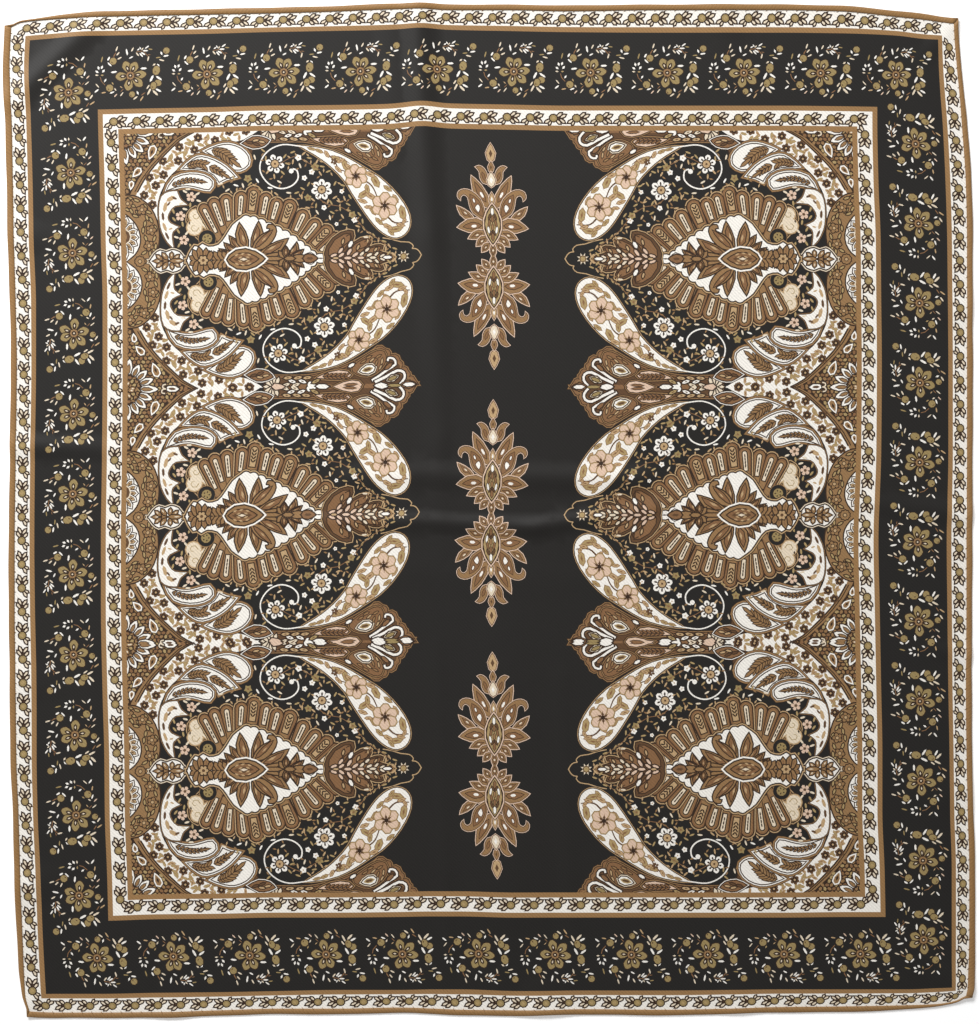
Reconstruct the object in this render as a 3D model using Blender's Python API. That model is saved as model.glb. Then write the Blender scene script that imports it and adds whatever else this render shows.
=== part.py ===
"""A printed silk square laid flat: one thin panel of cloth with a narrow rolled hem on each edge.

Metres, +Z up. The scarf lies on Z = 0, its top edge towards +Y, and the middle of its outline is
the origin. Every point starts on the flat cut of the cloth, u across and v up from its middle, in
millimetres. lay() then puts it where the laid cloth has it: the edges wander by a few millimetres,
the corners pull in, and soft folds lift the cloth off the table.
"""

import math

import bmesh
import bpy
import numpy as np

MM = 0.001

# The flat cut, and how it is made up (millimetres)
CUT_WIDTH = 857.0
CUT_HEIGHT = 898.0
WALL = 1.2            # thickness of the panel's wall
HEM_TURN = 4.8        # cloth rolled into the hem, measured inwards from the cut's edge
HEM_HEIGHT = 2.4      # the roll is an oval this high
SEAM_GAP = 0.3        # clearance between the panel and each roll
HEM_LINE_U = CUT_WIDTH / 2 - HEM_TURN
HEM_LINE_V = CUT_HEIGHT / 2 - HEM_TURN
BORDER_LINE = 23.6    # from the cut's edge to where the dark border starts
FIELD_LINE_U = 345.7  # from the middle to the frame round the printed field
FIELD_LINE_V = 360.0
BOX_MIDDLE = (-1.21, 0.05)  # middle of the laid outline, moved to the origin

# The panel's grid lines, closer together where folds and edge waves run.
# Columns: from, to, spacing.
UPRIGHT_LINES = ((-430, -388, 9), (-388, -100, 24), (-100, -22, 6.5), (-22, 388, 24), (388, 430, 9))
CROSS_LINES = ((-450, -402, 10), (-402, -40, 24), (-40, 74, 7), (74, 402, 24), (402, 450, 10))
HEM_SIDES = 8

# How far the laid cloth stands to the right of its flat place, by height above the middle.
# Columns: left hem line, left border, left field, right field, right border, right hem line.
SIDE_COLUMNS = (-HEM_LINE_U, BORDER_LINE - CUT_WIDTH / 2, -FIELD_LINE_U,
                FIELD_LINE_U, CUT_WIDTH / 2 - BORDER_LINE, HEM_LINE_U)
SIDE_SHIFT = {
    449: (-3.0, -3.5, -3.0, -2.0, -7.5, -11.5),
    401: (-4.5, -5.5, -4.0, -2.5, -6.5, -8.5),
    374: (-3.5, -4.5, -3.5, -2.0, -5.0, -6.0),
    347: (-2.5, -3.5, -3.0, -2.0, -3.0, -4.0),
    294: (-1.5, -2.0, -1.5, -1.0, -0.5, -0.5),
    241: (-0.5, -1.0, -0.5, 1.0, 1.0, 0.5),
    187: (1.0, 1.0, 1.0, 1.5, 1.5, 0.5),
    134: (2.0, 1.0, 1.0, 2.0, 2.0, 0.5),
    54: (1.0, 0.0, 0.5, 1.5, 2.0, 0.5),
    -26: (0.0, -0.5, -0.5, -1.0, 0.5, 0.0),
    -79: (0.0, 0.0, -0.5, 0.0, 1.0, 0.0),
    -159: (1.0, 1.5, 1.0, 1.5, 2.0, -0.5),
    -213: (1.5, 1.5, 2.5, 2.5, 3.0, 0.0),
    -266: (3.5, 2.5, 3.0, 2.5, 3.5, 1.0),
    -319: (5.0, 5.0, 5.0, 4.5, 5.0, 2.5),
    -373: (7.0, 7.0, 6.5, 5.5, 5.0, 2.5),
    -426: (9.5, 10.0, 9.0, 6.0, 5.0, 1.0),
    -449: (14.0, 12.0, 9.5, 6.0, 5.0, -1.0),
}

# How far it stands above its flat place, by distance to the right of the middle.
# Columns: bottom hem line, bottom border, bottom field, top field, top border, top hem line.
RISE_COLUMNS = (-HEM_LINE_V, BORDER_LINE - CUT_HEIGHT / 2, -FIELD_LINE_V,
                FIELD_LINE_V, CUT_HEIGHT / 2 - BORDER_LINE, HEM_LINE_V)
RISE = {
    -428: (-1.0, -4.0, -4.5, -4.0, -9.0, -15.0),
    -414: (-2.0, -4.0, -4.5, -4.0, -8.0, -9.5),
    -396: (-2.5, -4.0, -4.5, -3.5, -6.5, -7.5),
    -356: (-2.5, -4.0, -4.5, -3.5, -3.5, -5.0),
    -303: (-2.0, -3.0, -3.0, -2.5, -2.5, -3.5),
    -249: (-0.5, -2.5, -2.5, -1.5, -1.5, -2.5),
    -196: (1.0, -1.5, -1.5, 0.0, 0.0, -1.5),
    -143: (1.0, -0.5, -1.5, 0.5, 1.0, 0.0),
    -89: (2.0, -0.5, -1.0, 1.5, 2.0, 2.0),
    -58: (1.0, 0.0, -0.5, 4.0, 3.5, 2.5),
    -33: (0.0, 0.0, -0.5, 2.0, 2.0, 1.5),
    17: (-0.5, -1.5, -1.5, 1.0, 1.0, 1.5),
    71: (0.5, -1.0, -1.5, 0.0, 0.0, 0.5),
    151: (0.0, -1.0, -1.5, 0.0, -0.5, 1.5),
    257: (2.5, 0.0, -1.5, 0.0, -0.5, 1.5),
    311: (3.0, 0.0, -1.0, -0.5, -1.0, 0.5),
    364: (4.0, 0.0, -1.0, -1.5, -3.0, -4.5),
    391: (5.0, 1.0, 0.0, -3.0, -6.0, -7.0),
    410: (8.0, 2.0, 0.5, -4.0, -7.0, -9.5),
    428: (13.5, 3.0, 1.0, -5.0, -8.0, -11.0),
}

# Width of each roll along its edge: it narrows where the edge curls under at a corner.
HEM_WIDTHS = {
    "top": {-428: 1.0, -405: 1.1, -392: 2.0, -375: 3.2, -350: 4.0, -300: 4.4, 428: 4.6},
    "bottom": {-428: 4.4, 330: 4.3, 385: 2.0, 400: 1.2, 428: 1.2},
    "left": {-449: 2.4, -440: 1.6, -425: 2.4, -400: 4.2, -350: 4.6, 250: 4.8, 340: 5.4, 449: 5.4},
    "right": {-449: 5.4, -430: 5.6, -390: 5.2, -350: 4.6, 350: 4.6, 380: 3.4, 449: 3.4},
}

# Soft folds and edge waves, each a ridge between two points of the flat cut.
# Columns: from u, from v, to u, to v, height there, height here, half width.
FOLDS = (
    (-62, 452, -54, 240, 4.0, 2.2, 13),      # upright fold from the top edge
    (-54, 240, -46, 60, 2.2, 0.8, 13),
    (-88, 448, -80, 330, 1.2, 0.9, 16),      # its broad left shoulder
    (-175, -8, 40, -14, 1.2, 2.6, 8),        # fold across the middle
    (40, -14, 150, 4, 2.6, 1.0, 8),
    (-120, 30, 130, 30, 1.4, 2.2, 11),
    (-430, 62, -325, 58, 2.2, 0.8, 10),      # fold at the left edge
    (330, 8, 432, -2, 0.8, 2.4, 11),         # fold at the right edge
    (-418, 372, -350, 436, 2.6, 2.2, 12),    # slanting fold at the top left corner
    (8, -130, 12, -330, 0.8, 1.6, 34),       # broad swell below the middle
    (395, -122, 430, -128, 0.8, 2.0, 9),
    (-432, 250, -392, 246, 1.8, 0.6, 16),    # waves along the edges
    (-432, -150, -396, -150, 1.6, 0.6, 20),
    (-424, -330, -392, -322, 2.0, 0.6, 17),
    (392, 180, 432, 184, 0.6, 1.9, 18),
    (392, -250, 432, -256, 0.6, 1.7, 20),
    (-290, -418, -292, -450, 0.6, 1.7, 20),
    (40, -414, 42, -450, 0.6, 2.6, 24),
    (215, -418, 216, -450, 0.6, 1.6, 18),
    (210, 418, 212, 450, 0.6, 1.6, 22),
    (388, -404, 428, -440, 0.6, 3.0, 13),    # the curled corners
    (-404, -412, -430, -444, 0.6, 2.2, 12),
    (392, 410, 424, 444, 0.6, 2.0, 12),
)
LIFT_STARTS = 0.35    # a swell lower than this leaves the cloth flat on the table


def along(table, where, column=None):
    """A smooth curve through a table's rows that never swings past a row's own value."""
    stations = np.array(sorted(table), float)
    rows = [table[key] for key in sorted(table)]
    values = np.array(rows if column is None else [row[column] for row in rows], float)
    chords = np.diff(values) / np.diff(stations)
    before, after = chords[:-1], chords[1:]
    turning = before * after <= 0
    both = np.where(turning, 1.0, before + after)
    slopes = np.concatenate([[0.0], np.where(turning, 0.0, 2 * before * after / both), [0.0]])
    where = np.clip(where, stations[0], stations[-1])
    i = np.clip(np.searchsorted(stations, where, side="right") - 1, 0, len(stations) - 2)
    span = stations[i + 1] - stations[i]
    t = (where - stations[i]) / span
    near, far = values[i], values[i + 1]
    return (near * (1 + 2 * t) * (1 - t) ** 2 + far * t * t * (3 - 2 * t)
            + span * slopes[i] * t * (1 - t) ** 2 - span * slopes[i + 1] * t * t * (1 - t))


def across(table, columns, along_at, across_at):
    """Reads a table of rows at along_at, and between its columns at across_at."""
    read = [along(table, along_at, k) for k in range(len(columns))]
    shift = read[0]
    for k in range(len(columns) - 1):
        share = np.clip((across_at - columns[k]) / (columns[k + 1] - columns[k]), 0, 1)
        shift = shift + share * (read[k + 1] - read[k])
    return shift


def lift(u, v):
    """Height of the cloth's underside over the table."""
    height = 0.0
    for from_u, from_v, to_u, to_v, from_height, to_height, half_width in FOLDS:
        run_u, run_v = to_u - from_u, to_v - from_v
        length = math.hypot(run_u, run_v)
        place = ((u - from_u) * run_u + (v - from_v) * run_v) / length
        share = np.clip(place / length, 0, 1)
        beyond = place - share * length
        aside = ((u - from_u) * run_v - (v - from_v) * run_u) / length
        crest = from_height + share * (to_height - from_height)
        reach = (aside / half_width) ** 2 + (beyond / (1.6 * half_width)) ** 2
        height = np.maximum(height, crest * np.exp(-reach)) + 0.25 * np.minimum(
            height, crest * np.exp(-reach))
    return np.maximum(0.0, height - LIFT_STARTS)


def lay(u, v, above=0.0):
    """The laid place, in metres, of a point of the flat cut that is above the cloth's underside."""
    x = u + across(SIDE_SHIFT, SIDE_COLUMNS, v, u) - BOX_MIDDLE[0]
    y = v + across(RISE, RISE_COLUMNS, u, v) - BOX_MIDDLE[1]
    return tuple(float(c) * MM for c in (x, y, lift(u, v) + above))


def grid_lines(bands, half):
    """Stations from -half to half, spaced as the bands say."""
    stations = [-half]
    for start, end, spacing in bands:
        cells = round((end - start) / spacing)
        stations += [start + (end - start) * k / cells for k in range(1, cells + 1)]
    return [s for s in stations if abs(s) < half - 3 or s == -half] + [half]


def painted(obj, name, colour, roughness):
    material = bpy.data.materials.new(name)
    material.use_nodes = True
    shader = material.node_tree.nodes["Principled BSDF"]
    shader.inputs["Base Color"].default_value = (*colour, 1)
    shader.inputs["Roughness"].default_value = roughness
    shader.inputs["Metallic"].default_value = 0.0
    material.diffuse_color = (*colour, 1)
    obj.data.materials.append(material)


def add_object(name, bm):
    mesh = bpy.data.meshes.new(name)
    bm.to_mesh(mesh)
    bm.free()
    mesh.shade_smooth()
    obj = bpy.data.objects.new(name, mesh)
    bpy.context.collection.objects.link(obj)
    return obj


def make_panel():
    """The underside is laid point by point, and the wall is thickened upwards from it."""
    columns = grid_lines(UPRIGHT_LINES, HEM_LINE_U - SEAM_GAP)
    rows = grid_lines(CROSS_LINES, HEM_LINE_V - SEAM_GAP)
    across_cells, up_cells = len(columns) - 1, len(rows) - 1
    bm = bmesh.new()
    bmesh.ops.create_grid(bm, x_segments=across_cells, y_segments=up_cells, size=1)
    for vert in bm.verts:
        u = columns[round((vert.co.x + 1) / 2 * across_cells)]
        v = rows[round((vert.co.y + 1) / 2 * up_cells)]
        vert.co = lay(u, v)
    panel = add_object("silk_square", bm)
    wall = panel.modifiers.new("wall", "SOLIDIFY")
    wall.thickness = WALL * MM
    wall.offset = 1
    painted(panel, "printed_silk", (0.030, 0.027, 0.025), 0.42)


def make_hem(side, upright, line, neighbours):
    """A roll of cloth on the panel's edge at line, oval in section and flat beneath.

    Its ends are mitred to the neighbours: each shares its corner's diagonal with one of them.
    """
    half = HEM_LINE_V if upright else HEM_LINE_U
    outwards_is = math.copysign(1, line)
    bm = bmesh.new()
    rings = []
    for place in grid_lines(CROSS_LINES if upright else UPRIGHT_LINES, half):
        width = float(along(HEM_WIDTHS[side], place))
        end = math.copysign(1, place) if abs(place) == half else 0
        mitre = float(along(HEM_WIDTHS[neighbours[end > 0]], line)) if end else 0.0
        ring = []
        for s in range(HEM_SIDES):
            angle = 2 * math.pi * (s + 0.5) / HEM_SIDES
            out = (1 + math.cos(angle) / math.cos(math.pi / HEM_SIDES)) / 2
            above = (1 + math.sin(angle) / math.cos(math.pi / HEM_SIDES)) / 2 * HEM_HEIGHT
            x, y, z = lay(*((line, place) if upright else (place, line)), above)
            outwards = outwards_is * out * width * MM
            sideways = end * (out * mitre - SEAM_GAP / 2) * MM
            step = (outwards, sideways) if upright else (sideways, outwards)
            ring.append(bm.verts.new((x + step[0], y + step[1], z)))
        rings.append(ring)
    for near, far in zip(rings, rings[1:]):
        for s in range(HEM_SIDES):
            t = (s + 1) % HEM_SIDES
            bm.faces.new((near[s], near[t], far[t], far[s]))
    bm.faces.new(rings[0])
    bm.faces.new(rings[-1])
    bmesh.ops.recalc_face_normals(bm, faces=bm.faces)
    hem = add_object("hem_" + side, bm)
    painted(hem, "hem_silk_" + side, (0.300, 0.165, 0.065), 0.5)


def main():
    for obj in list(bpy.data.objects):
        bpy.data.objects.remove(obj, do_unlink=True)
    make_panel()
    make_hem("top", False, HEM_LINE_V, ("left", "right"))
    make_hem("bottom", False, -HEM_LINE_V, ("left", "right"))
    make_hem("left", True, -HEM_LINE_U, ("bottom", "top"))
    make_hem("right", True, HEM_LINE_U, ("bottom", "top"))


main()
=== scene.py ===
# %% [markdown]
# # A printed silk square, laid flat
# The scarf is one piece of silk twill. It is printed first and hemmed afterwards: each edge is
# rolled between the fingers and slip-stitched. Here the print is cut out of the cloth's own mesh,
# so that every motif keeps a sharp edge. The mesh is then laid on the table as the real cloth lies,
# with its soft folds, and the four rolled hems go round it.

# %% Open the frame
import math

import bmesh
import bpy
import numpy as np
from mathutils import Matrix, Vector
from mathutils.geometry import delaunay_2d_cdt


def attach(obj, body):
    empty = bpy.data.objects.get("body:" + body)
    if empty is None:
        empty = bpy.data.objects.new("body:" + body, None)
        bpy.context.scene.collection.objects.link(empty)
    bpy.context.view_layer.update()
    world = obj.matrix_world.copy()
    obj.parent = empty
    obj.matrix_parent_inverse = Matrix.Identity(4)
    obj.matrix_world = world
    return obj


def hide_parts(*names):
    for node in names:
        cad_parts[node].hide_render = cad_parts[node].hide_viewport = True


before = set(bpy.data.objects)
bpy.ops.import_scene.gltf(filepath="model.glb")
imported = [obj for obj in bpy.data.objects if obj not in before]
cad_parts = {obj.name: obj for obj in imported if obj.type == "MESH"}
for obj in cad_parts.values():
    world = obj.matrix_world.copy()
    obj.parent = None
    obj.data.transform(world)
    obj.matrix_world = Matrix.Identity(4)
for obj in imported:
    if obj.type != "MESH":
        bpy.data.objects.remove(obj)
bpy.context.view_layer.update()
MM = 0.001
print("nodes:", ", ".join(sorted(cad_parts)))

# %% [markdown]
# ## The cut
# The flat cut is measured from its middle, u to the right and v upwards, in millimetres. These are
# the sizes of the solid model, so that the cloth made here lies exactly where the solids lie.

# %% Sizes of the cut
CUT_WIDTH = 857.0
CUT_HEIGHT = 898.0
HEM_TURN = 4.8        # cloth rolled into each hem
HEM_HEIGHT = 2.4
HEM_LINE_U = CUT_WIDTH / 2 - HEM_TURN
HEM_LINE_V = CUT_HEIGHT / 2 - HEM_TURN
BORDER_LINE = 23.6    # from the cut's edge to the dark border
FIELD_LINE_U = 345.7  # from the middle to the frame round the field
FIELD_LINE_V = 360.0
BOX_MIDDLE = (-1.21, 0.05)
print(f"cut {CUT_WIDTH:.0f} x {CUT_HEIGHT:.0f} mm, hemmed {2 * HEM_LINE_U:.0f} x {2 * HEM_LINE_V:.0f} mm")

# %% [markdown]
# ## How the cloth lies
# A hand-laid silk never lies true: its edges wander by a few millimetres and its corners pull in.
# Two small tables say how far each part of the cloth stands from its flat place. A smooth curve
# runs through each column, and between the columns the shift is shared out evenly.

# %% Sideways and upwards shifts
# Columns: left hem line, left border, left field, right field, right border, right hem line.
SIDE_COLUMNS = (-HEM_LINE_U, BORDER_LINE - CUT_WIDTH / 2, -FIELD_LINE_U,
                FIELD_LINE_U, CUT_WIDTH / 2 - BORDER_LINE, HEM_LINE_U)
SIDE_SHIFT = {
    449: (-3.0, -3.5, -3.0, -2.0, -7.5, -11.5),
    401: (-4.5, -5.5, -4.0, -2.5, -6.5, -8.5),
    374: (-3.5, -4.5, -3.5, -2.0, -5.0, -6.0),
    347: (-2.5, -3.5, -3.0, -2.0, -3.0, -4.0),
    294: (-1.5, -2.0, -1.5, -1.0, -0.5, -0.5),
    241: (-0.5, -1.0, -0.5, 1.0, 1.0, 0.5),
    187: (1.0, 1.0, 1.0, 1.5, 1.5, 0.5),
    134: (2.0, 1.0, 1.0, 2.0, 2.0, 0.5),
    54: (1.0, 0.0, 0.5, 1.5, 2.0, 0.5),
    -26: (0.0, -0.5, -0.5, -1.0, 0.5, 0.0),
    -79: (0.0, 0.0, -0.5, 0.0, 1.0, 0.0),
    -159: (1.0, 1.5, 1.0, 1.5, 2.0, -0.5),
    -213: (1.5, 1.5, 2.5, 2.5, 3.0, 0.0),
    -266: (3.5, 2.5, 3.0, 2.5, 3.5, 1.0),
    -319: (5.0, 5.0, 5.0, 4.5, 5.0, 2.5),
    -373: (7.0, 7.0, 6.5, 5.5, 5.0, 2.5),
    -426: (9.5, 10.0, 9.0, 6.0, 5.0, 1.0),
    -449: (14.0, 12.0, 9.5, 6.0, 5.0, -1.0),
}
# Columns: bottom hem line, bottom border, bottom field, top field, top border, top hem line.
RISE_COLUMNS = (-HEM_LINE_V, BORDER_LINE - CUT_HEIGHT / 2, -FIELD_LINE_V,
                FIELD_LINE_V, CUT_HEIGHT / 2 - BORDER_LINE, HEM_LINE_V)
RISE = {
    -428: (-1.0, -4.0, -4.5, -4.0, -9.0, -15.0),
    -414: (-2.0, -4.0, -4.5, -4.0, -8.0, -9.5),
    -396: (-2.5, -4.0, -4.5, -3.5, -6.5, -7.5),
    -356: (-2.5, -4.0, -4.5, -3.5, -3.5, -5.0),
    -303: (-2.0, -3.0, -3.0, -2.5, -2.5, -3.5),
    -249: (-0.5, -2.5, -2.5, -1.5, -1.5, -2.5),
    -196: (1.0, -1.5, -1.5, 0.0, 0.0, -1.5),
    -143: (1.0, -0.5, -1.5, 0.5, 1.0, 0.0),
    -89: (2.0, -0.5, -1.0, 1.5, 2.0, 2.0),
    -58: (1.0, 0.0, -0.5, 4.0, 3.5, 2.5),
    -33: (0.0, 0.0, -0.5, 2.0, 2.0, 1.5),
    17: (-0.5, -1.5, -1.5, 1.0, 1.0, 1.5),
    71: (0.5, -1.0, -1.5, 0.0, 0.0, 0.5),
    151: (0.0, -1.0, -1.5, 0.0, -0.5, 1.5),
    257: (2.5, 0.0, -1.5, 0.0, -0.5, 1.5),
    311: (3.0, 0.0, -1.0, -0.5, -1.0, 0.5),
    364: (4.0, 0.0, -1.0, -1.5, -3.0, -4.5),
    391: (5.0, 1.0, 0.0, -3.0, -6.0, -7.0),
    410: (8.0, 2.0, 0.5, -4.0, -7.0, -9.5),
    428: (13.5, 3.0, 1.0, -5.0, -8.0, -11.0),
}


def along(table, where, column=None):
    """A smooth curve through a table's rows that never swings past a row's own value."""
    stations = np.array(sorted(table), float)
    rows = [table[key] for key in sorted(table)]
    values = np.array(rows if column is None else [row[column] for row in rows], float)
    chords = np.diff(values) / np.diff(stations)
    before, after = chords[:-1], chords[1:]
    turning = before * after <= 0
    both = np.where(turning, 1.0, before + after)
    slopes = np.concatenate([[0.0], np.where(turning, 0.0, 2 * before * after / both), [0.0]])
    where = np.clip(where, stations[0], stations[-1])
    i = np.clip(np.searchsorted(stations, where, side="right") - 1, 0, len(stations) - 2)
    span = stations[i + 1] - stations[i]
    t = (where - stations[i]) / span
    near, far = values[i], values[i + 1]
    return (near * (1 + 2 * t) * (1 - t) ** 2 + far * t * t * (3 - 2 * t)
            + span * slopes[i] * t * (1 - t) ** 2 - span * slopes[i + 1] * t * t * (1 - t))


def across(table, columns, along_at, across_at):
    """Reads a table of rows at along_at, and between its columns at across_at."""
    read = [along(table, along_at, k) for k in range(len(columns))]
    shift = read[0]
    for k in range(len(columns) - 1):
        share = np.clip((across_at - columns[k]) / (columns[k + 1] - columns[k]), 0, 1)
        shift = shift + share * (read[k + 1] - read[k])
    return shift


# %% [markdown]
# ## Folds
# Each fold is a soft ridge between two points of the cut, with its own height at either end and
# its own width, placed after the folds of a real scarf that was unfolded on a table. The
# first list is the one that the solids have. The second holds finer creases that only the cloth
# made here shows.

# %% Folds and creases
# Columns: from u, from v, to u, to v, height at the start, height at the end, half width.
FOLDS = (
    (-62, 452, -54, 240, 4.0, 2.2, 13),      # upright fold from the top edge
    (-54, 240, -46, 60, 2.2, 0.8, 13),
    (-88, 448, -80, 330, 1.2, 0.9, 16),      # its broad left shoulder
    (-175, -8, 40, -14, 1.2, 2.6, 8),        # fold across the middle
    (40, -14, 150, 4, 2.6, 1.0, 8),
    (-120, 30, 130, 30, 1.4, 2.2, 11),
    (-430, 62, -325, 58, 2.2, 0.8, 10),      # fold at the left edge
    (330, 8, 432, -2, 0.8, 2.4, 11),         # fold at the right edge
    (-418, 372, -350, 436, 2.6, 2.2, 12),    # slanting fold at the top left corner
    (8, -130, 12, -330, 0.8, 1.6, 34),       # broad swell below the middle
    (395, -122, 430, -128, 0.8, 2.0, 9),
    (-432, 250, -392, 246, 1.8, 0.6, 16),    # waves along the edges
    (-432, -150, -396, -150, 1.6, 0.6, 20),
    (-424, -330, -392, -322, 2.0, 0.6, 17),
    (392, 180, 432, 184, 0.6, 1.9, 18),
    (392, -250, 432, -256, 0.6, 1.7, 20),
    (-290, -418, -292, -450, 0.6, 1.7, 20),
    (40, -414, 42, -450, 0.6, 2.6, 24),
    (215, -418, 216, -450, 0.6, 1.6, 18),
    (210, 418, 212, 450, 0.6, 1.6, 22),
    (388, -404, 428, -440, 0.6, 3.0, 13),    # the curled corners
    (-404, -412, -430, -444, 0.6, 2.2, 12),
    (392, 410, 424, 444, 0.6, 2.0, 12),
)
CREASES = (
    (-46, 60, -44, -60, 0.5, 0.25, 9),       # the upright fold runs out below the middle
    (-48, -120, -44, -395, 0.25, 0.35, 7),
    (62, -150, 66, -400, 0.3, 0.45, 9),
    (-300, 8, -180, 6, 0.3, 0.5, 8),
    (150, 6, 330, 10, 0.5, 0.3, 9),
    (-150, -52, 90, -60, 0.3, 0.25, 14),
    (-20, 200, 60, 120, 0.2, 0.3, 20),
)
LIFT_STARTS = 0.35    # a swell lower than this leaves the cloth flat on the table


def ridges(rows, u, v):
    height = 0.0 * u
    for from_u, from_v, to_u, to_v, from_height, to_height, half_width in rows:
        run_u, run_v = to_u - from_u, to_v - from_v
        length = math.hypot(run_u, run_v)
        place = ((u - from_u) * run_u + (v - from_v) * run_v) / length
        share = np.clip(place / length, 0, 1)
        beyond = place - share * length
        aside = ((u - from_u) * run_v - (v - from_v) * run_u) / length
        crest = from_height + share * (to_height - from_height)
        reach = (aside / half_width) ** 2 + (beyond / (1.6 * half_width)) ** 2
        height = np.maximum(height, crest * np.exp(-reach)) + 0.25 * np.minimum(
            height, crest * np.exp(-reach))
    return height


def lift(u, v):
    """Height of the cloth's underside over the table."""
    return np.maximum(0.0, ridges(FOLDS, u, v) - LIFT_STARTS) + ridges(CREASES, u, v)


def lay(u, v, above=0.0):
    """The laid places, in metres, of points of the flat cut that are above the cloth's underside."""
    u, v = np.asarray(u, float), np.asarray(v, float)
    x = u + across(SIDE_SHIFT, SIDE_COLUMNS, v, u) - BOX_MIDDLE[0]
    y = v + across(RISE, RISE_COLUMNS, u, v) - BOX_MIDDLE[1]
    return np.stack([x, y, lift(u, v) + above], axis=-1) * MM


print(f"{len(FOLDS)} folds and {len(CREASES)} creases, up to {max(row[4] for row in FOLDS)} mm high")

# %% [markdown]
# ## The print's chart
# Print designers draw on a squared chart. One step of this chart is a little under a millimetre,
# x runs to the right and y downwards. A block holds the shapes of one motif in the order in which
# they are printed, each an outline with its ink. A block that repeats is printed at each of its
# places, turned or mirrored. Later inks lie on earlier ones.

# %% Chart, inks and blocks
STEP = 0.88933                   # millimetres
CONTOUR = 0.38                   # steps added to every rim, as ink spreads
CHART_MIDDLE = (490.5, 510.75)   # the chart's place of the middle of the cut
INKS = {  # red, green and blue as seen, 0 to 255
    "black": (37, 35, 33),
    "outline": (56, 40, 29),
    "umber": (98, 71, 48),
    "rust": (136, 100, 68),
    "gold": (151, 117, 79),
    "stripe": (155, 119, 78),
    "olive": (156, 135, 90),
    "bud": (174, 149, 103),
    "tan": (191, 160, 119),
    "pink": (222, 192, 168),
    "cream": (229, 213, 188),
    "white": (246, 241, 232),
}


def grown(outline, by):
    """The outline moved outwards by that many steps, with its sharp tips cut short."""
    after = np.roll(outline, -1, 0) - outline
    before = outline - np.roll(outline, 1, 0)
    after = after / (np.linalg.norm(after, axis=1, keepdims=True) + 1e-9)
    before = before / (np.linalg.norm(before, axis=1, keepdims=True) + 1e-9)
    middle = before + after
    middle = middle / (np.linalg.norm(middle, axis=1, keepdims=True) + 1e-9)
    turn = np.clip((middle * after).sum(1), 0.55, 1)
    clockwise = -1 if signed_area(outline) < 0 else 1
    outwards = np.stack([middle[:, 1], -middle[:, 0]], 1) * clockwise
    return outline + outwards * (by / turn)[:, None]


def signed_area(outline):
    x, y = outline.T
    return (x * np.roll(y, -1) - y * np.roll(x, -1)).sum() / 2


class Block:
    """One motif: outlines and inks, in the order in which they are printed."""

    def __init__(self):
        self.shapes = []

    def cut(self, outlines, ink, *rims):
        """Adds shapes in one ink. Rims, each a width and an ink, lie round all of them, widest first."""
        outlines = outlines if isinstance(outlines, list) else [outlines]
        for by, rim_ink in rims:
            self.shapes += [(grown(outline, by + CONTOUR), rim_ink) for outline in outlines]
        self.shapes += [(outline, ink) for outline in outlines]

    def at(self, places):
        """Every shape at every place, shape by shape, so that no copy covers its neighbour."""
        return [(outline @ turn.T + move, ink) for outline, ink in self.shapes for turn, move in places]


def placed(x, y, turn=0, size=1.0, mirror=False):
    """A place for a block: its origin goes to x, y, turned clockwise by that many degrees."""
    a = math.radians(turn)
    matrix = size * np.array(((math.cos(a), -math.sin(a)), (math.sin(a), math.cos(a))))
    return matrix @ np.diag((-1 if mirror else 1, 1)), np.array((x, y), float)


print(f"{len(INKS)} inks, one chart step is {STEP} mm")

# %% [markdown]
# ## Outlines
# Four kinds of outline draw the whole print. A blade is a leaf or petal from its foot to its tip,
# pointed or round at either end. An oval is a seed or bud. A bow is a closed smooth outline through
# a few points, and a line is a stroke of the pen along a smooth curve.

# %% Kinds of outline
def onward(x, y, turn, reach):
    """The point at that reach from x, y, with its turn in degrees, clockwise from the right."""
    a = math.radians(turn)
    return x + reach * math.cos(a), y + reach * math.sin(a)


def heading(start, end):
    """The turn, in degrees, of the way from start to end."""
    return math.degrees(math.atan2(end[1] - start[1], end[0] - start[0]))


def along_line(start, end, share):
    return start[0] + share * (end[0] - start[0]), start[1] + share * (end[1] - start[1])


def part_way(start, end, from_share, to_share):
    """The stretch between two shares of the way from start to end, as x, y, to x, to y."""
    return *along_line(start, end, from_share), *along_line(start, end, to_share)


def blade(x, y, to_x, to_y, width, bend=0.0, foot=1.0, tip=1.0, steps=2):
    """A leaf's outline. foot and tip say how its ends close: 1 is pointed and 0.5 is round."""
    t = (1 - np.cos(math.pi * (np.arange(steps) + 1) / (steps + 1))) / 2
    fullest = foot / (foot + tip)
    half = width / 2 * t ** foot * (1 - t) ** tip / (fullest ** foot * (1 - fullest) ** tip)
    run = np.array((to_x - x, to_y - y), float)
    side = np.array((-run[1], run[0]))
    side /= np.linalg.norm(side)
    spine = np.outer(t, run) + np.outer(4 * bend * t * (1 - t) * np.linalg.norm(run), side)
    sides = spine + np.outer(half, side), spine - np.outer(half, side)
    return np.vstack([(0, 0), sides[0], run, sides[1][::-1]]) + (x, y)


def leaf(x, y, length, turn, width, **ends):
    """A leaf given by its middle, its length and its turn in degrees, clockwise from the right."""
    run_x, run_y = onward(0, 0, turn, length / 2)
    return blade(x - run_x, y - run_y, x + run_x, y + run_y, width, **ends)


def oval(x, y, wide, high=None, turn=0, sides=8):
    a = np.arange(sides) * 2 * math.pi / sides
    ring = np.stack([wide * np.cos(a), (high or wide) * np.sin(a)], 1)
    matrix, move = placed(x, y, turn)
    return ring @ matrix.T + move


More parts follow.
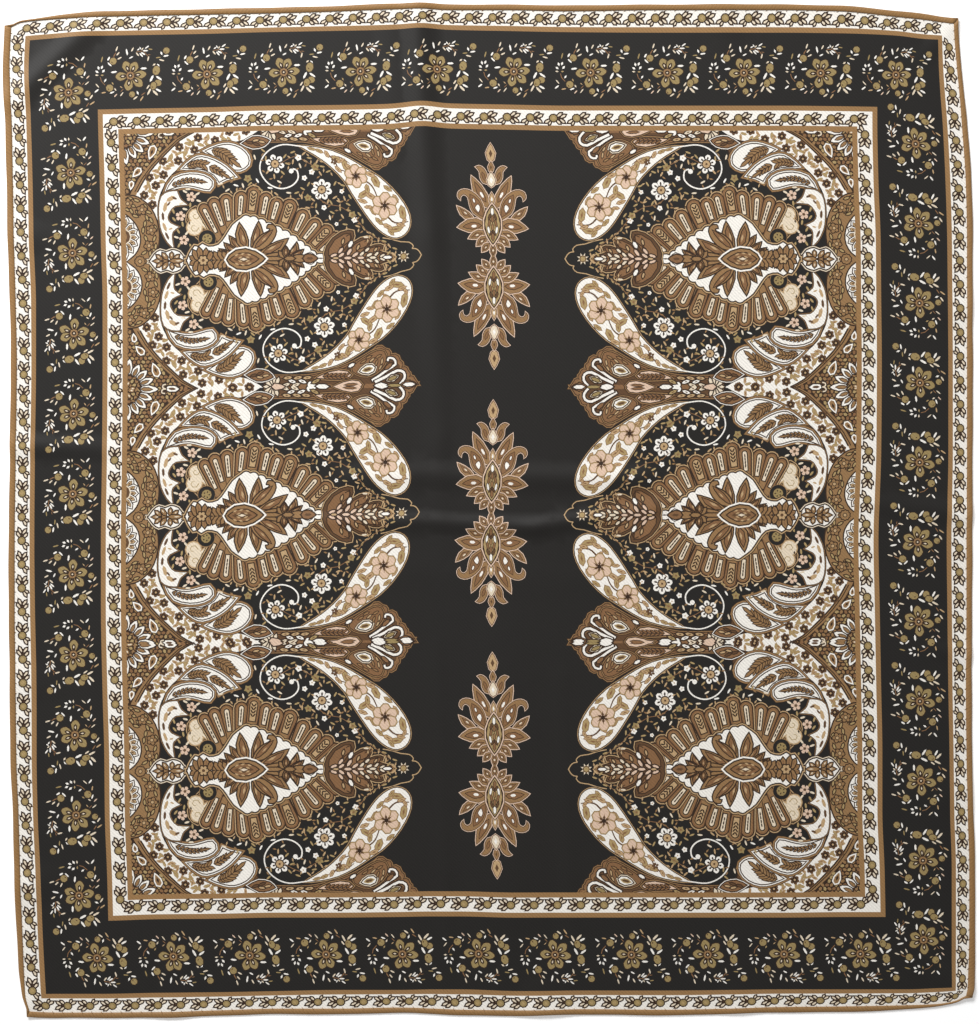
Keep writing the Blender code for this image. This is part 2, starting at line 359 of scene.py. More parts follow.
def smooth(points, steps=3, closed=False, corners=()):
    """A smooth curve through the points, with steps to each stretch and sharp at the corners."""
    points = np.array(points, float)
    if closed:
        tangents = (np.roll(points, -1, 0) - np.roll(points, 1, 0)) / 2
        ends = np.roll(points, -1, 0)
    else:
        tangents = np.gradient(points, axis=0)
        ends = points[1:]
    tangents[list(corners)] = 0
    out_tangents = np.roll(tangents, -1, 0)
    t = (np.arange(steps) / steps)[:, None]
    curve = []
    for k, end in enumerate(ends):
        curve.append(points[k] * (1 + 2 * t) * (1 - t) ** 2 + end * t * t * (3 - 2 * t)
                     + tangents[k] * t * (1 - t) ** 2 - out_tangents[k] * t * t * (1 - t))
    if not closed:
        curve.append(points[-1:])
    return np.vstack(curve)


def bow(points, steps=3, corners=()):
    return smooth(points, steps, True, corners)


def line(points, width, end_width=None, steps=3):
    """A pen stroke along a smooth curve. It may swell or taper to another width."""
    spine = smooth(points, steps)
    run = np.gradient(spine, axis=0)
    run /= np.linalg.norm(run, axis=1, keepdims=True) + 1e-9
    end_width = width if end_width is None else end_width
    half = np.linspace(width, end_width, len(spine))[:, None] / 2
    side = np.stack([-run[:, 1], run[:, 0]], 1) * half
    return np.vstack([spine + side, (spine - side)[::-1]])


def shaped(x, y, to_x, to_y, width, stations):
    """An outline with a few stations: each a share of the way and of the half width."""
    run = np.array((to_x - x, to_y - y), float)
    side = np.array((-run[1], run[0])) / np.linalg.norm(run) * width / 2
    stations = np.array(stations)
    spine = np.outer(stations[:, 0], run) + (x, y)
    half = np.outer(stations[:, 1], side)
    return np.vstack([spine + half, (spine - half)[::-1]])


def lobe(x, y, to_x, to_y, width, foot=0.7):
    """A long lobe with straight sides, a narrower foot and a round tip."""
    cap = width / 2 / math.hypot(to_x - x, to_y - y)
    return shaped(x, y, to_x, to_y, width, [(0, foot), (1 - cap, 1), (1 - 0.5 * cap, 0.87),
                                            (1 - 0.13 * cap, 0.5), (1, 0.12)])


def petal(x, y, turn, inner, reach, width, lip=0.22):
    """A petal that broadens to shoulders and ends in a small lip, from a flower's middle x, y."""
    return shaped(*onward(x, y, turn, inner), *onward(x, y, turn, reach), width,
                  [(0, 0.3), (0.35, 0.82), (0.65, 1), (0.86, 0.66), (1, lip)])


def scallops(cusps, bulge=0.3, steps=3):
    """Round scallops between cusps, which bulge to the left of the way they run."""
    cusps = np.array(cusps, float)
    t = (np.arange(steps) / steps)[:, None]
    curve = []
    for start, end in zip(cusps, cusps[1:]):
        out = np.array((end[1] - start[1], start[0] - end[0]))
        curve.append(start + t * (end - start) + 4 * bulge * t * (1 - t) * out)
    return np.vstack(curve + [cusps[-1:]])


def ringed(count, x, y, inner, reach, width, turn=0, **ends):
    """Petals round a middle."""
    turns = [turn + 360 * k / count for k in range(count)]
    return [blade(*onward(x, y, t, inner), *onward(x, y, t, reach), width, **ends) for t in turns]


print("a leaf of two steps has", len(blade(0, 0, 5, 0, 2)), "points")

# %% [markdown]
# ## Border sprays
# The dark border carries forty-four sprays, eleven to a side, that walk round it like a pinwheel.
# Each has a six-petalled flower, round buds and scattered narrow leaves. The leaves are given one
# by one, because the look of a hand-drawn spray lies in their unevenness.

# %% One spray
SPRAY_LEAVES = (  # x, y, length, turn, width, ink; the flower's middle is 0, 0
    (-21.5, -17.2, 4.5, -60, 2.4, "white"), (-20.5, -11.6, 5.5, 45, 2.2, "white"),
    (-17.8, 7.5, 3.5, 60, 1.6, "bud"), (-15.3, 13.6, 3.6, 60, 1.7, "cream"),
    (-18.6, 16.5, 5.0, -20, 2.0, "white"), (-27.0, 16.5, 5.0, -10, 1.8, "tan"),
    (-31.6, -8.2, 4.0, 75, 2.6, "white"), (-28.2, -8.8, 4.0, -65, 2.6, "white"),
    (-33.2, -4.4, 4.0, 35, 2.5, "white"), (-26.7, -5.0, 4.2, -50, 2.6, "white"),
    (-33.4, -1.0, 3.6, 5, 1.8, "cream"), (-28.0, -0.9, 3.4, -5, 1.8, "bud"),
    (-28.2, -16.6, 6.5, -75, 1.9, "olive"), (-33.1, 9.4, 5.5, 50, 1.5, "cream"),
    (-33.9, 14.6, 5.4, -38, 2.1, "white"), (-25.1, 4.4, 4.2, -55, 2.0, "white"),
    (-16.3, -3.8, 6.4, -8, 2.6, "white"), (13.4, -6.9, 6.6, -2, 2.8, "white"),
    (-13.6, -26.9, 5.6, -72, 1.9, "cream"), (-12.2, -22.0, 4.6, -48, 1.9, "cream"),
    (-10.6, -17.5, 5.0, -28, 1.9, "cream"), (-15.4, -21.5, 4.5, -50, 1.0, "rust"),
    (-3.4, -23.5, 7.0, 78, 2.4, "white"), (2.1, -26.0, 5.0, -62, 1.9, "cream"),
    (0.9, -18.1, 4.6, -28, 1.9, "white"), (8.0, -25.9, 3.6, -35, 1.6, "white"),
    (9.9, -27.2, 3.4, 60, 1.4, "white"), (12.0, -26.4, 3.4, -50, 1.5, "cream"),
    (16.6, -28.1, 5.2, -36, 1.8, "white"), (15.0, -24.6, 5.6, 0, 2.0, "white"),
    (20.0, -26.0, 4.6, 8, 1.6, "olive"), (12.8, -21.7, 5.4, 28, 2.2, "white"),
    (7.2, -21.2, 4.8, 48, 1.9, "cream"), (11.0, -20.3, 5.4, 48, 1.9, "white"),
    (18.0, -16.6, 5.4, -75, 2.0, "cream"), (19.0, -20.6, 4.0, 10, 1.0, "rust"),
    (31.1, -21.7, 4.4, 68, 2.2, "white"), (35.7, -19.1, 5.6, -10, 2.2, "white"),
    (31.5, -14.8, 5.8, 14, 1.9, "cream"), (28.0, -17.5, 5.4, -6, 1.7, "olive"),
    (23.9, -10.5, 3.8, -35, 2.0, "cream"), (28.0, -9.8, 4.0, 50, 2.3, "white"),
    (21.2, 3.3, 7.8, -62, 3.0, "white"), (28.5, 3.1, 7.4, 36, 2.8, "white"),
    (17.4, 11.7, 5.2, -55, 2.0, "cream"), (18.4, 16.3, 8.0, -62, 2.5, "cream"),
    (27.7, 15.2, 6.6, 28, 2.6, "white"), (24.5, 17.7, 7.8, 45, 2.9, "cream"),
    (12.4, 18.6, 5.6, -35, 1.4, "rust"), (10.9, 23.2, 6.4, -56, 1.9, "tan"),
    (6.9, 17.4, 4.4, 68, 2.1, "white"), (4.6, 22.4, 5.6, -35, 2.0, "cream"),
    (-15.1, 19.5, 4.6, -46, 1.6, "pink"), (-9.0, 18.4, 5.6, -52, 1.5, "cream"),
    (-9.4, 11.3, 3.6, 40, 1.2, "tan"), (-8.6, 14.6, 4.6, -45, 1.0, "rust"),
)
spray = Block()
for stem in (((-30, 1), (-29, 5), (-25.5, 9)), ((-17, -18), (-14.5, -23)),
             ((6, -23.5), (13, -24.5), (18.5, -18))):
    spray.cut(line(stem, 0.8, steps=1), "rust")
for x, y, length, turn, width, ink in SPRAY_LEAVES:
    spray.cut(leaf(x, y, length, turn, 0.92 * width, steps=2 if length > 4.4 else 1), ink)
for x, y, wide, high in ((-17, -14.7, 3.7, 3.8), (-20.9, 12, 3.9, 3.8), (36, -24.3, 3.5, 3.4),
                         (26, -4.7, 3.9, 5.1), (27.4, 7.8, 3.7, 3.4), (22.8, 10.6, 3.2, 4.2),
                         (1.3, 18.8, 3.1, 3.2)):
    spray.cut(oval(x, y, 0.95 * wide, 0.95 * high, 15), "olive", (0.3, "outline"))
    spray.cut(leaf(x - 1.2, y + 1.4, 2.6, 60, 1.3, steps=1), "umber")
SPRAY_PETALS = ((-111, 15.0, 8.6), (-66, 14.4, 8.6), (-5, 15.8, 7.8), (43, 15.6, 8.4), (102, 15.0, 8.6),
                (176, 14.6, 8.6))
for turn, reach, width in SPRAY_PETALS:
    spray.cut(petal(0, 0, turn, 3.0, reach, width), "olive", (0.5, "outline"))
spray.cut(oval(0, 0, 4.2), "gold", (0.4, "outline"))
for turn, reach, width in SPRAY_PETALS:
    spray.cut(blade(*onward(0, 0, turn, 3.4), *onward(0, 0, turn, 11.0), 4.6), "outline")
    spray.cut(leaf(*onward(0, 0, turn, 7.6), 3.6, turn, 1.5, steps=1), "cream")
spray.cut(oval(0, 0, 2.4, sides=6), "outline")
spray.cut(oval(0, 0, 1.0, sides=4), "cream")

SPRAYS_A_SIDE = 11
SPRAY_SIDES = (  # the first spray's place, the step to the next, and how the sprays are turned
    ((134.7, 72.6), (76.5, 0), ((1, 0), (0, 1))), ((88.7, 953.2), (76.5, 0), ((1, 0), (0, -1))),
    ((73.0, 88.5), (0, 80.2), ((0, 1), (1, 0))), ((917.6, 141.5), (0, 79.8), ((0, 1), (-1, 0))),
)
spray_places = [(np.array(matrix, float), np.array(first) + k * np.array(step))
                for k in range(SPRAYS_A_SIDE) for first, step, matrix in SPRAY_SIDES]
print(f"a spray has {sum(len(o) for o, _ in spray.shapes)} points, {len(spray_places)} places")

# %% [markdown]
# ## Bud bands
# The two white bands carry one small motif over and over: a round bud between five little leaves.
# It is charted once and walks round the four sides, turned with each of them.

# %% One bud and its bands
bud = Block()
BUD_LEAVES = (  # from x, y to x, y, width
    (-3.0, 1.6, -8.4, 4.6, 2.9), (3.6, -1.4, 8.2, -4.9, 3.0), (7.2, -0.6, 12.2, -3.2, 2.9),
    (3.2, 2.0, 6.9, 5.4, 2.9), (6.8, 1.0, 11.2, 4.6, 2.8), (-2.6, 3.4, -4.4, 6.4, 2.2),
)
bud.cut(line(((2, 0.6), (7, 0), (10.5, 1.0)), 2.0, steps=1), "umber")
for x, y, to_x, to_y, width in BUD_LEAVES:
    bud.cut(blade(x, y, to_x, to_y, 0.78 * width, tip=0.7), "cream", (1.0, "outline"))
bud.cut(oval(0, 0, 4.9, 4.7, sides=9), "outline")
bud.cut(oval(0, 0, 3.7, 3.5, 20), "olive")
bud.cut(oval(0.2, -0.2, 2.0, sides=5), "bud")


BANDS = (  # turn, the band's middle line, first motif, pitch, count
    (0, 19.2, 31.1, 23.22, 40), (180, 1002.3, 33.1, 22.94, 41), (-90, 22.0, 38.1, 23.7, 41),
    (90, 959.0, 39.4, 24.14, 40), (0, 118.3, 117.2, 23.1, 33), (180, 903.2, 131.0, 23.35, 32),
    (-90, 114.0, 139.1, 24.38, 32), (90, 867.0, 133.9, 24.33, 32),
)
bud_places = []
for turn, line_at, first, pitch, count in BANDS:
    for k in range(count):
        along_band = first + pitch * k
        bud_places.append(placed(*((line_at, along_band) if turn % 180 else (along_band, line_at)), turn))
print(f"a bud has {sum(len(o) for o, _ in bud.shapes)} points, {len(bud_places)} places")

# %% [markdown]
# ## The field's quarter unit
# The field looks rich, but it is one quarter unit mirrored twelve times: three rows, two sides, and
# each row's upper and lower half. The unit's chart has its row's axis at y = 260 and the seam to
# the next row at y = 132, and x is the whole chart's. It grows from the back to the front.
#
# The first layer is the brown corner with half a lotus, on a ground of small curled strokes.

# %% Corner of the unit
AXIS, SEAM = 260.0, 132.0
EDGE = 126.0          # the field's left edge
SEAM_EDGE = SEAM - 0.6
unit = Block()


def inside(outline, x, y):
    """Whether a point lies inside an outline."""
    a, b = outline, np.roll(outline, -1, 0)
    crosses = (a[:, 1] > y) != (b[:, 1] > y)
    where = a[:, 0] + (y - a[:, 1]) * (b[:, 0] - a[:, 0]) / np.where(crosses, b[:, 1] - a[:, 1], 1)
    return (crosses & (where > x)).sum() % 2 == 1


CORNER_ARC = ((197.5, SEAM), (183.5, 139.8), (168.5, 153.4), (157, 165.2), (147, 178), (139.5, 191),
              (135.5, 200))
corner = np.vstack([smooth(CORNER_ARC, 2), [(EDGE, 200), (EDGE, SEAM_EDGE), (198, SEAM_EDGE)]])
unit.cut(corner, "gold")
inner_corner = np.vstack([smooth([(x - 6.0, y - 0.5) for x, y in CORNER_ARC], 1),
                          [(EDGE, 198), (EDGE, SEAM_EDGE), (192, SEAM_EDGE)]])
unit.cut(inner_corner, "outline")
strokes = 0
for row in range(18):
    for k in range(16):
        x = 127.0 + 4.5 * k + 2.2 * (row % 2)
        y = SEAM + 0.8 + 3.8 * row
        if inside(inner_corner, x + 0.6, y + 0.6):
            strokes += 1
            unit.cut(oval(x, y, 2.3, 1.65, 47 * strokes, sides=5),
                     ("bud", "gold", "rust", "gold")[strokes % 4])
LOTUS = (125.5, SEAM)
LOTUS_PETALS = ((83, 15, 31), (62, 15, 28), (42, 15, 28), (21, 15, 29), (0, 15, 32))
for turn, inner, reach in LOTUS_PETALS:
    foot, tip = onward(*LOTUS, turn, inner), onward(*LOTUS, turn, reach)
    unit.cut(blade(*foot, *tip, 7.0, foot=0.6, tip=0.8, steps=3), "white", (0.8, "outline"))
    unit.cut(blade(*part_way(foot, tip, 0.06, 0.66), 3.0, foot=0.6, tip=0.8), "gold", (0.4, "outline"))
unit.cut(ringed(5, *LOTUS, 3, 9.5, 4.0, 10), "gold", (0.5, "outline"))
unit.cut(ringed(5, *LOTUS, 5, 8.4, 1.6, 10, steps=1), "cream")
for x, y, length, turn, width in ((155, 151, 12, -68, 6.0), (139.5, 171, 9, -45, 4.8),
                                  (133.5, 183.5, 6, -80, 3.2)):
    unit.cut(leaf(x, y, length, turn, width, tip=0.5, steps=3), "gold", (1.6, "outline"), (0.9, "white"))
    unit.cut(leaf(x, y, length * 0.5, turn, width * 0.4, steps=1), "outline")
unit.cut(leaf(172, SEAM, 13, 0, 6.6), "white", (0.9, "outline"))
unit.cut(leaf(172, SEAM, 7, 0, 2.8), "umber")
unit.cut(line(((165.5, SEAM), (162.6, 133.2), (162.4, 136), (165.5, 136.8)), 1.3, steps=2), "cream",
         (0.6, "outline"))
print(f"corner: {strokes} strokes, {len(unit.shapes)} shapes")

# %% [markdown]
# ## The white arch
# A white band springs from row to row. It is strewn with small dark five-petalled flowers in two
# files, and between them lie tan leaves, set round each flower by a rule.

# %% White arch with its flowers
ARCH_INNER = ((262, SEAM), (256.5, 135.4), (249, 140), (238, 142.6), (226, 145.2), (213, 149.6),
              (203, 154.3), (191.5, 160.5), (180.5, 168.2), (171.5, 176.5), (165.5, 186), (161.3, 195),
              (159.3, 206), (159.3, 219), (160.5, 232))
arch = np.vstack([smooth(CORNER_ARC, 2), [(139, 205), (150, 222), (155, 232)],
                  smooth(ARCH_INNER, 2)[::-1], [(262, SEAM_EDGE), (198, SEAM_EDGE)]])
unit.cut(arch, "white")
unit.cut(line(CORNER_ARC[:6], 1.5, steps=2), "outline")
unit.cut(line([(x - 2.6, y - 0.6) for x, y in CORNER_ARC[:6]], 1.0, steps=1), "outline")
ARCH_FLOWERS = ((201.5, 137.6), (218.5, 140.6), (232.5, SEAM), (249.2, SEAM), (182.5, 146.3),
                (197.5, 149.6), (165.6, 160.2), (181, 160.2), (151.8, 176.2), (166, 174), (146.2, 194),
                (158, 184.5), (154.3, 203.5))
LEAVES_ROUND = 11     # tried round each flower, and kept where there is room
LEAF_ROOM = 5.7       # steps kept clear between an arch leaf and any flower's middle
for k, (x, y) in enumerate(ARCH_FLOWERS):
    for j in range(LEAVES_ROUND):
        a = 2 * math.pi * (j + 0.37 * k) / LEAVES_ROUND
        away, turn = 7.8 + 1.6 * (j % 2), math.degrees(a) + (55 if (j + k) % 2 else -40)
        px, py = x + away * math.cos(a), y + away * math.sin(a)
        clear = min(math.hypot(px - fx, py - fy) for fx, fy in ARCH_FLOWERS) > LEAF_ROOM
        if clear and all(inside(arch, px + 3.2 * math.cos(a + q), py + 3.2 * math.sin(a + q))
                         for q in (-1.5, 0, 1.5)):
            unit.cut(leaf(px, py, 6.4, turn, 2.9), "bud" if (j + k) % 3 else "tan", (-0.1, "gold"))
            if (j + k) % 3 == 0:
                unit.cut(leaf(px, py, 4.0, turn, 1.2, steps=1), "rust")
for x, y in ARCH_FLOWERS:
    unit.cut(ringed(6, x, y, 0.4, 5.0, 3.8, 20, tip=0.45, foot=0.5), "umber")
    unit.cut(oval(x, y, 3.0, sides=6), "outline")
    unit.cut(oval(x, y, 1.3, sides=4), "tan")
print(f"arch: {len(ARCH_FLOWERS)} flowers")

# %% [markdown]
# ## The olive garland and the half rosette
# At the field's edge an olive band swings out and back to a point on each row's axis. It frames
# half a rosette of rust petals on white.

# %% Olive garland
GARLAND_OUTER = ((EDGE, 194), (136, 194.8), (144, 199), (152.5, 207.5), (158, 220), (160, 233),
                 (159, 244.5), (156, 253.5), (151.8, AXIS))
GARLAND_INNER = ((EDGE, 211), (133.5, 217), (139.5, 225.5), (142.4, 235.5), (141.2, 245.5), (136, 254),
                 (128, AXIS))
garland = np.vstack([smooth(GARLAND_OUTER, 2), smooth(GARLAND_INNER, 2)[::-1]])
rosette = np.vstack([smooth(GARLAND_INNER, 2), [(EDGE, AXIS)]])
unit.cut(rosette, "white")
for turn, reach, width in ((-80, 20, 7), (-52, 16.5, 7.6), (-24, 15.5, 7.6), (4, 15.5, 7.8),
                           (32, 16.5, 7.6), (60, 18.5, 7), (84, 22, 6.4)):
    c, s = math.cos(math.radians(turn)), math.sin(math.radians(turn))
    foot, tip = (125 + 4 * c, 235 + 6 * s), (125 + reach * c * 0.94, 235 + reach * s)
    unit.cut(blade(*foot, *tip, width), "white", (0.6, "outline"))
    unit.cut(blade(*part_way(foot, tip, 0.12, 0.8), width * 0.5), "tan", (0.2, "outline"))
    unit.cut(blade(*part_way(foot, tip, 0.3, 0.66), width * 0.2, steps=1), "umber")
unit.cut(oval(125, 235, 6.5, 7, sides=10), "umber", (0.8, "cream"))
unit.cut(oval(125, 235, 3.5, 4), "gold")
unit.cut(garland, "gold", (1.0, "outline"))
GARLAND_LEAVES = ((134.5, 204, 30), (138.5, 199, 20), (148.5, 216.5, 70), (152.6, 219, 60),
                  (146.4, 222.5, 100), (147.0, 237, 70), (155.5, 237.5, 110), (145, 251.5, 150),
                  (151, 252.5, 90), (157.0, 227, 70), (150.0, 211, 20), (139.5, 211.5, 50),
                  (131.5, 196.8, 0), (128.5, 207.5, 40), (144.5, 229, 95), (137.0, 214.5, 20),
                  (156.6, 245.5, 100), (154.6, 249, 60), (133, 209.5, 60), (147.5, 205.5, 60))
for x, y, turn in GARLAND_LEAVES:
    unit.cut(leaf(x, y, 5.6, turn, 2.5), "bud", (0.6, "outline"))
for x, y in ((143.5, 208.5), (152.3, 229), (150.0, 244.5), (140.5, AXIS), (129.5, 202)):
    unit.cut(ringed(5, x, y, 0.8, 5.0, 3.6, 11 * y, foot=0.6, tip=0.5), "gold", (0.6, "outline"))
    unit.cut(oval(x, y, 1.6, sides=6), "tan", (0.3, "outline"))
print("garland and rosette cut")

# %% [markdown]
# ## Paisley leaves and the horn
# Inside the arch stand three paisley leaves and a white horn. Each leaf is a white bow inside
# nested rims of brown and black, with a serrated leaf of small blades along its spine.

# %% Paisley leaves and horn
BED = ((254, 143.5), (238, 144), (220, 148.2), (203, 155.5), (191.5, 162), (180.5, 169.5), (171.5, 178),
       (166, 187.5), (170, 190.5), (186, 187), (204, 190), (219, 186), (228, 178), (243, 172), (253, 160))
unit.cut(bow(BED, 2), "umber", (0.8, "outline"))


def serrated(spine, blades, reach):
    """Pairs of blades along a spine, shorter towards its ends, and one at its tip."""
    middle = smooth(spine, 4)
    at = np.linspace(0, len(middle) - 1.01, blades + 1)[:-1]
    for k, place in enumerate(at):
        x, y = middle[int(place)]
        turn = heading(middle[int(place)], middle[int(place) + 1])
        size = reach * (1 - 0.35 * abs(2 * k / blades - 0.8))
        for side in (-34, 34):
            unit.cut(blade(x, y, *onward(x, y, turn + side, size), size * 0.36), "gold", (0.4, "outline"))
    unit.cut(blade(*middle[-3], *(middle[-1] + 0.45 * (middle[-1] - middle[-3])), reach * 0.34), "gold",
             (0.55, "outline"))


PAISLEY_LEAVES = (  # outline, corners, spine, blades, reach
    (((209, 151), (221, 146.6), (232, 145.4), (243.5, 149.6), (250.4, 157.5), (250.4, 165.5),
      (242.5, 170.4), (232.5, 168.4), (222.6, 159.8)), (0,), ((215.5, 150.4), (226, 154.4), (240, 165.4)),
      7, 10.4),
    (((186, 167.5), (196, 159.6), (204.5, 157), (217, 161), (228, 168), (236.6, 176.9), (228.5, 178.6),
      (221.5, 181.9), (216.5, 174.9), (206.5, 169.4), (197, 168)), (0, 5, 7),
     ((190.5, 165.6), (202, 163.6), (216, 168.6), (229.5, 177)), 10, 7.8),
    (((169, 189.4), (177, 178), (192, 174), (206, 176), (214, 181.8), (211, 189), (201, 187), (190, 184.6),
      (178, 186)), (0,), ((175, 184.4), (190, 179.8), (205.5, 181.6)), 9, 4.8),
)
for outline, corners, spine, blades, reach in PAISLEY_LEAVES:
    body = bow(outline, 2, corners)
    unit.cut(body, "white", (4.4, "outline"), (3.8, "gold"), (2.3, "outline"), (1.7, "white"),
             (0.7, "outline"))
    serrated(spine, blades, reach)
HORN = ((179, 190.5), (171, 191), (163.5, 195.5), (160.8, 207), (161.2, 220.4), (163.2, 230.6),
        (168.8, 241.5), (174.4, 247), (173, 237.5), (174, 230.8), (180, 226.2), (172, 222.5), (169, 217),
        (171.4, 210.5), (177, 205), (189, 204.2), (183, 199.5), (180.8, 195.5))
unit.cut(bow(HORN, 2, (0, 7, 10, 15)), "white", (1.5, "outline"), (0.8, "gold"), (0.3, "outline"))
for x, y, length, turn, width, ink in (
        (172.5, 198, 9, -30, 4.2, "tan"), (167, 206, 10, -75, 3.8, "tan"),
        (164.5, 215.5, 8, 85, 2.6, "umber"), (166, 226, 9, 70, 3.0, "tan"),
        (168.3, 235, 8, 65, 2.4, "umber"), (176.5, 197.5, 5, 20, 2.2, "umber"),
        (170.5, 203, 5, -50, 1.8, "umber"), (172, 228, 4, -20, 1.6, "tan")):
    unit.cut(leaf(x, y, 1.1 * length, turn, 1.3 * width), ink)
print(f"unit so far: {sum(len(o) for o, _ in unit.shapes)} points")

# %% [markdown]
# ## The curl and the little flowers beside it
# A cream curl with a dark eye fills the bay between horn and feathers. Three pink flowers with
# tan leaves stand on the black ground beside it, and a lobed knob closes the axis.

# %% Curl, eye, flowers and knob
CURL = ((190, 226), (189.5, 214), (197, 207), (205, 210.5), (214, 217), (220.5, 228), (223.5, 240),
        (221, 249), (212, 247), (200, 238))
unit.cut(bow(CURL, 2), "gold", (2.2, "outline"), (1.5, "tan"), (0.7, "outline"))
unit.cut([oval(197, 215.5, 6.2, sides=12), oval(195.8, 227, 7.4, sides=12),
          blade(198, 219, 216, 235, 9, -0.15, 0.5, 0.9, steps=3)], "cream", (1.6, "outline"), (0.9, "tan"))
for x, y, r in ((197, 215.5, 4.0), (195.4, 227, 5.0)):
    unit.cut(line([(x + r * (1 - 0.13 * k) * math.cos(k), y + r * (1 - 0.13 * k) * math.sin(k))
                   for k in range(6)],
                  0.9, 0.6, steps=1), "bud")
unit.cut(leaf(206, 223.5, 7, 35, 2.4), "bud")
unit.cut(leaf(212.5, 227.5, 6, 60, 1.8, steps=1), "outline")
unit.cut(leaf(190.8, 222.5, 4, 100, 1.8, steps=1), "outline")
for x, y in ((193, 196.5), (182, 215.5), (185, 239.5)):
    unit.cut(ringed(5, x, y, 0.8, 5.2, 3.9, 15 * y, tip=0.45, foot=0.7), "pink")
    unit.cut(oval(x, y, 1.5, sides=5), "umber")
for x, y, turn in ((187, 191, 30), (192, 204.5, 95), (183, 203, -20), (184, 223.5, 80), (175.5, 218.5, 50),
                   (179.5, 230.5, 60), (188, 232.5, -50), (180, 244.5, 120), (191.5, 245.5, 70),
                   (186.6, 208.5, 15), (200.5, 200.5, 20), (177.5, 236.5, 20), (175, 210.5, 70),
                   (199.5, 193.5, -30), (190, 188.6, 0)):
    unit.cut(leaf(x, y, 5.6, turn, 2.6), "bud" if turn > 40 else "cream")
KNOB = ((150.4, AXIS + 0.4), (155.5, 253.2), (161, 249.6), (167, 251.5), (173, 249.2), (180, 251.5),
        (183.5, 256), (188, 258.4), (188, AXIS + 0.4))
unit.cut(bow(KNOB, 2, (0, 7, 8)), "white", (2.6, "outline"), (1.8, "cream"), (0.9, "outline"))
for x, y, to_x, to_y, width in ((170, AXIS, 153.5, AXIS, 5.4), (163, 259, 157, 253.8, 4),
                                (168, 258.6, 163, 251.8, 4.6), (172, 258.6, 172.5, 251.4, 4.6),
                                (174, 259, 180, 254, 4.2), (170, AXIS, 184, AXIS, 4.6)):
    unit.cut(blade(x, y, to_x, to_y, width), "gold", (0.7, "outline"))
    unit.cut(blade(*part_way((x, y), (to_x, to_y), 0.4, 0.85), 1.4, steps=1), "cream")
print("curl and knob cut")

# %% [markdown]
# ## Feathers round the medallion
# Twelve long lobes in four groups fan out from the almond medallion. Each group has a common rim,
# so its lobes are cut together: first all their dark rims, then the pale ones, then the bodies.
# Down each lobe runs a cream slot with dark dashes, and the middle one of a group holds a sprig.

# %% Feathers
FEATHERS = (  # groups of: from x, y to x, y, width
    ((221, 240, 203.5, 204.5, 9.5), (226, 233, 214, 199, 11), (231, 228, 227.3, 195.5, 12)),
    ((240.5, 222, 243.5, 193, 12), (252, 218, 256.5, 188.5, 13.5), (263, 221, 269, 195, 12)),
    ((272, 226, 280, 200.5, 12), (283, 230, 293.5, 202, 14), (294, 238, 306.5, 212.5, 12.5)),
    ((301, 245, 319.5, 222.5, 12), (309, 251, 331.5, 229, 12), (316, 257, 340, 236.5, 11)),
)
for group in FEATHERS:
    unit.cut([lobe(*row) for row in group], "rust", (2.6, "outline"), (1.9, "tan"), (0.9, "outline"))
    for k, (x, y, to_x, to_y, width) in enumerate(group):
        start, end = (x, y), (to_x, to_y)
        length = math.hypot(to_x - x, to_y - y)
        turn = heading(start, end)
        if k:
            unit.cut(line((along_line(*(group[k - 1][:2], start), 0.5),
                           along_line(*(group[k - 1][2:4], end), 0.5)),
                          0.9, steps=2), "outline")
        middle = k == 1 and group is not FEATHERS[0]
        unit.cut(lobe(*start, *along_line(start, end, 0.95), width * 0.7), "gold")
        unit.cut(lobe(*part_way(start, end, 0.22, 0.88), width * (0.5 if middle else 0.34), 0.8),
                 "tan" if middle else "cream", (0.7, "outline"))
        dashes = 4 if length > 28 else 3
        for j in range(dashes):
            at = along_line(start, end, 0.33 + 0.46 * (j + (0.2 if middle else 0.5)) / dashes)
            if middle:
                for side in (-35, 35):
                    unit.cut(blade(*at, *onward(*at, turn + side, 4.6), 1.9), "outline")
            else:
                unit.cut(leaf(*at, 4.2, turn, 1.7), "outline")
unit.cut(oval(208.2, 238.4, 8.6, sides=16), "black", (0.2, "gold"))
unit.cut(oval(208.2, 238.4, 5.0, sides=10), "olive", (0.3, "outline"))
unit.cut(ringed(5, 208.2, 238.4, 1.6, 3.9, 1.6, steps=1), "outline")
print(f"feathers: {sum(len(group) for group in FEATHERS)}")

# %% [markdown]
# ## The almond medallion
# The white medallion has a neck at its left and a scalloped edge that runs to a point. A lotus
# palmette fills it: a mandorla between upright and curling petals, a smaller palmette and a drop.

# %% Medallion and palmette
NECK = ((187.5, AXIS + 0.4), (190.5, 253), (195.5, 245.8), (199, 246.8), (203.5, 243.6), (209, 246.6),
        (219.5, 244.8), (227, 236), (234, 225.5), (243, 218.8))
CUSPS = ((243, 218.8), (251.4, 218.6), (259.4, 221.2), (267.2, 224.8), (275, 228.6), (283.3, 232.6),
         (291.2, 237.4), (298.6, 242.6), (305, 247.6), (311, 252.4), (316.5, 256.8), (327, AXIS + 0.4))
medallion = np.vstack([smooth(NECK, 2)[:-1], scallops(CUSPS, 0.26, 4)])
unit.cut(medallion, "white", (2.8, "outline"), (2.0, "tan"), (0.9, "outline"))


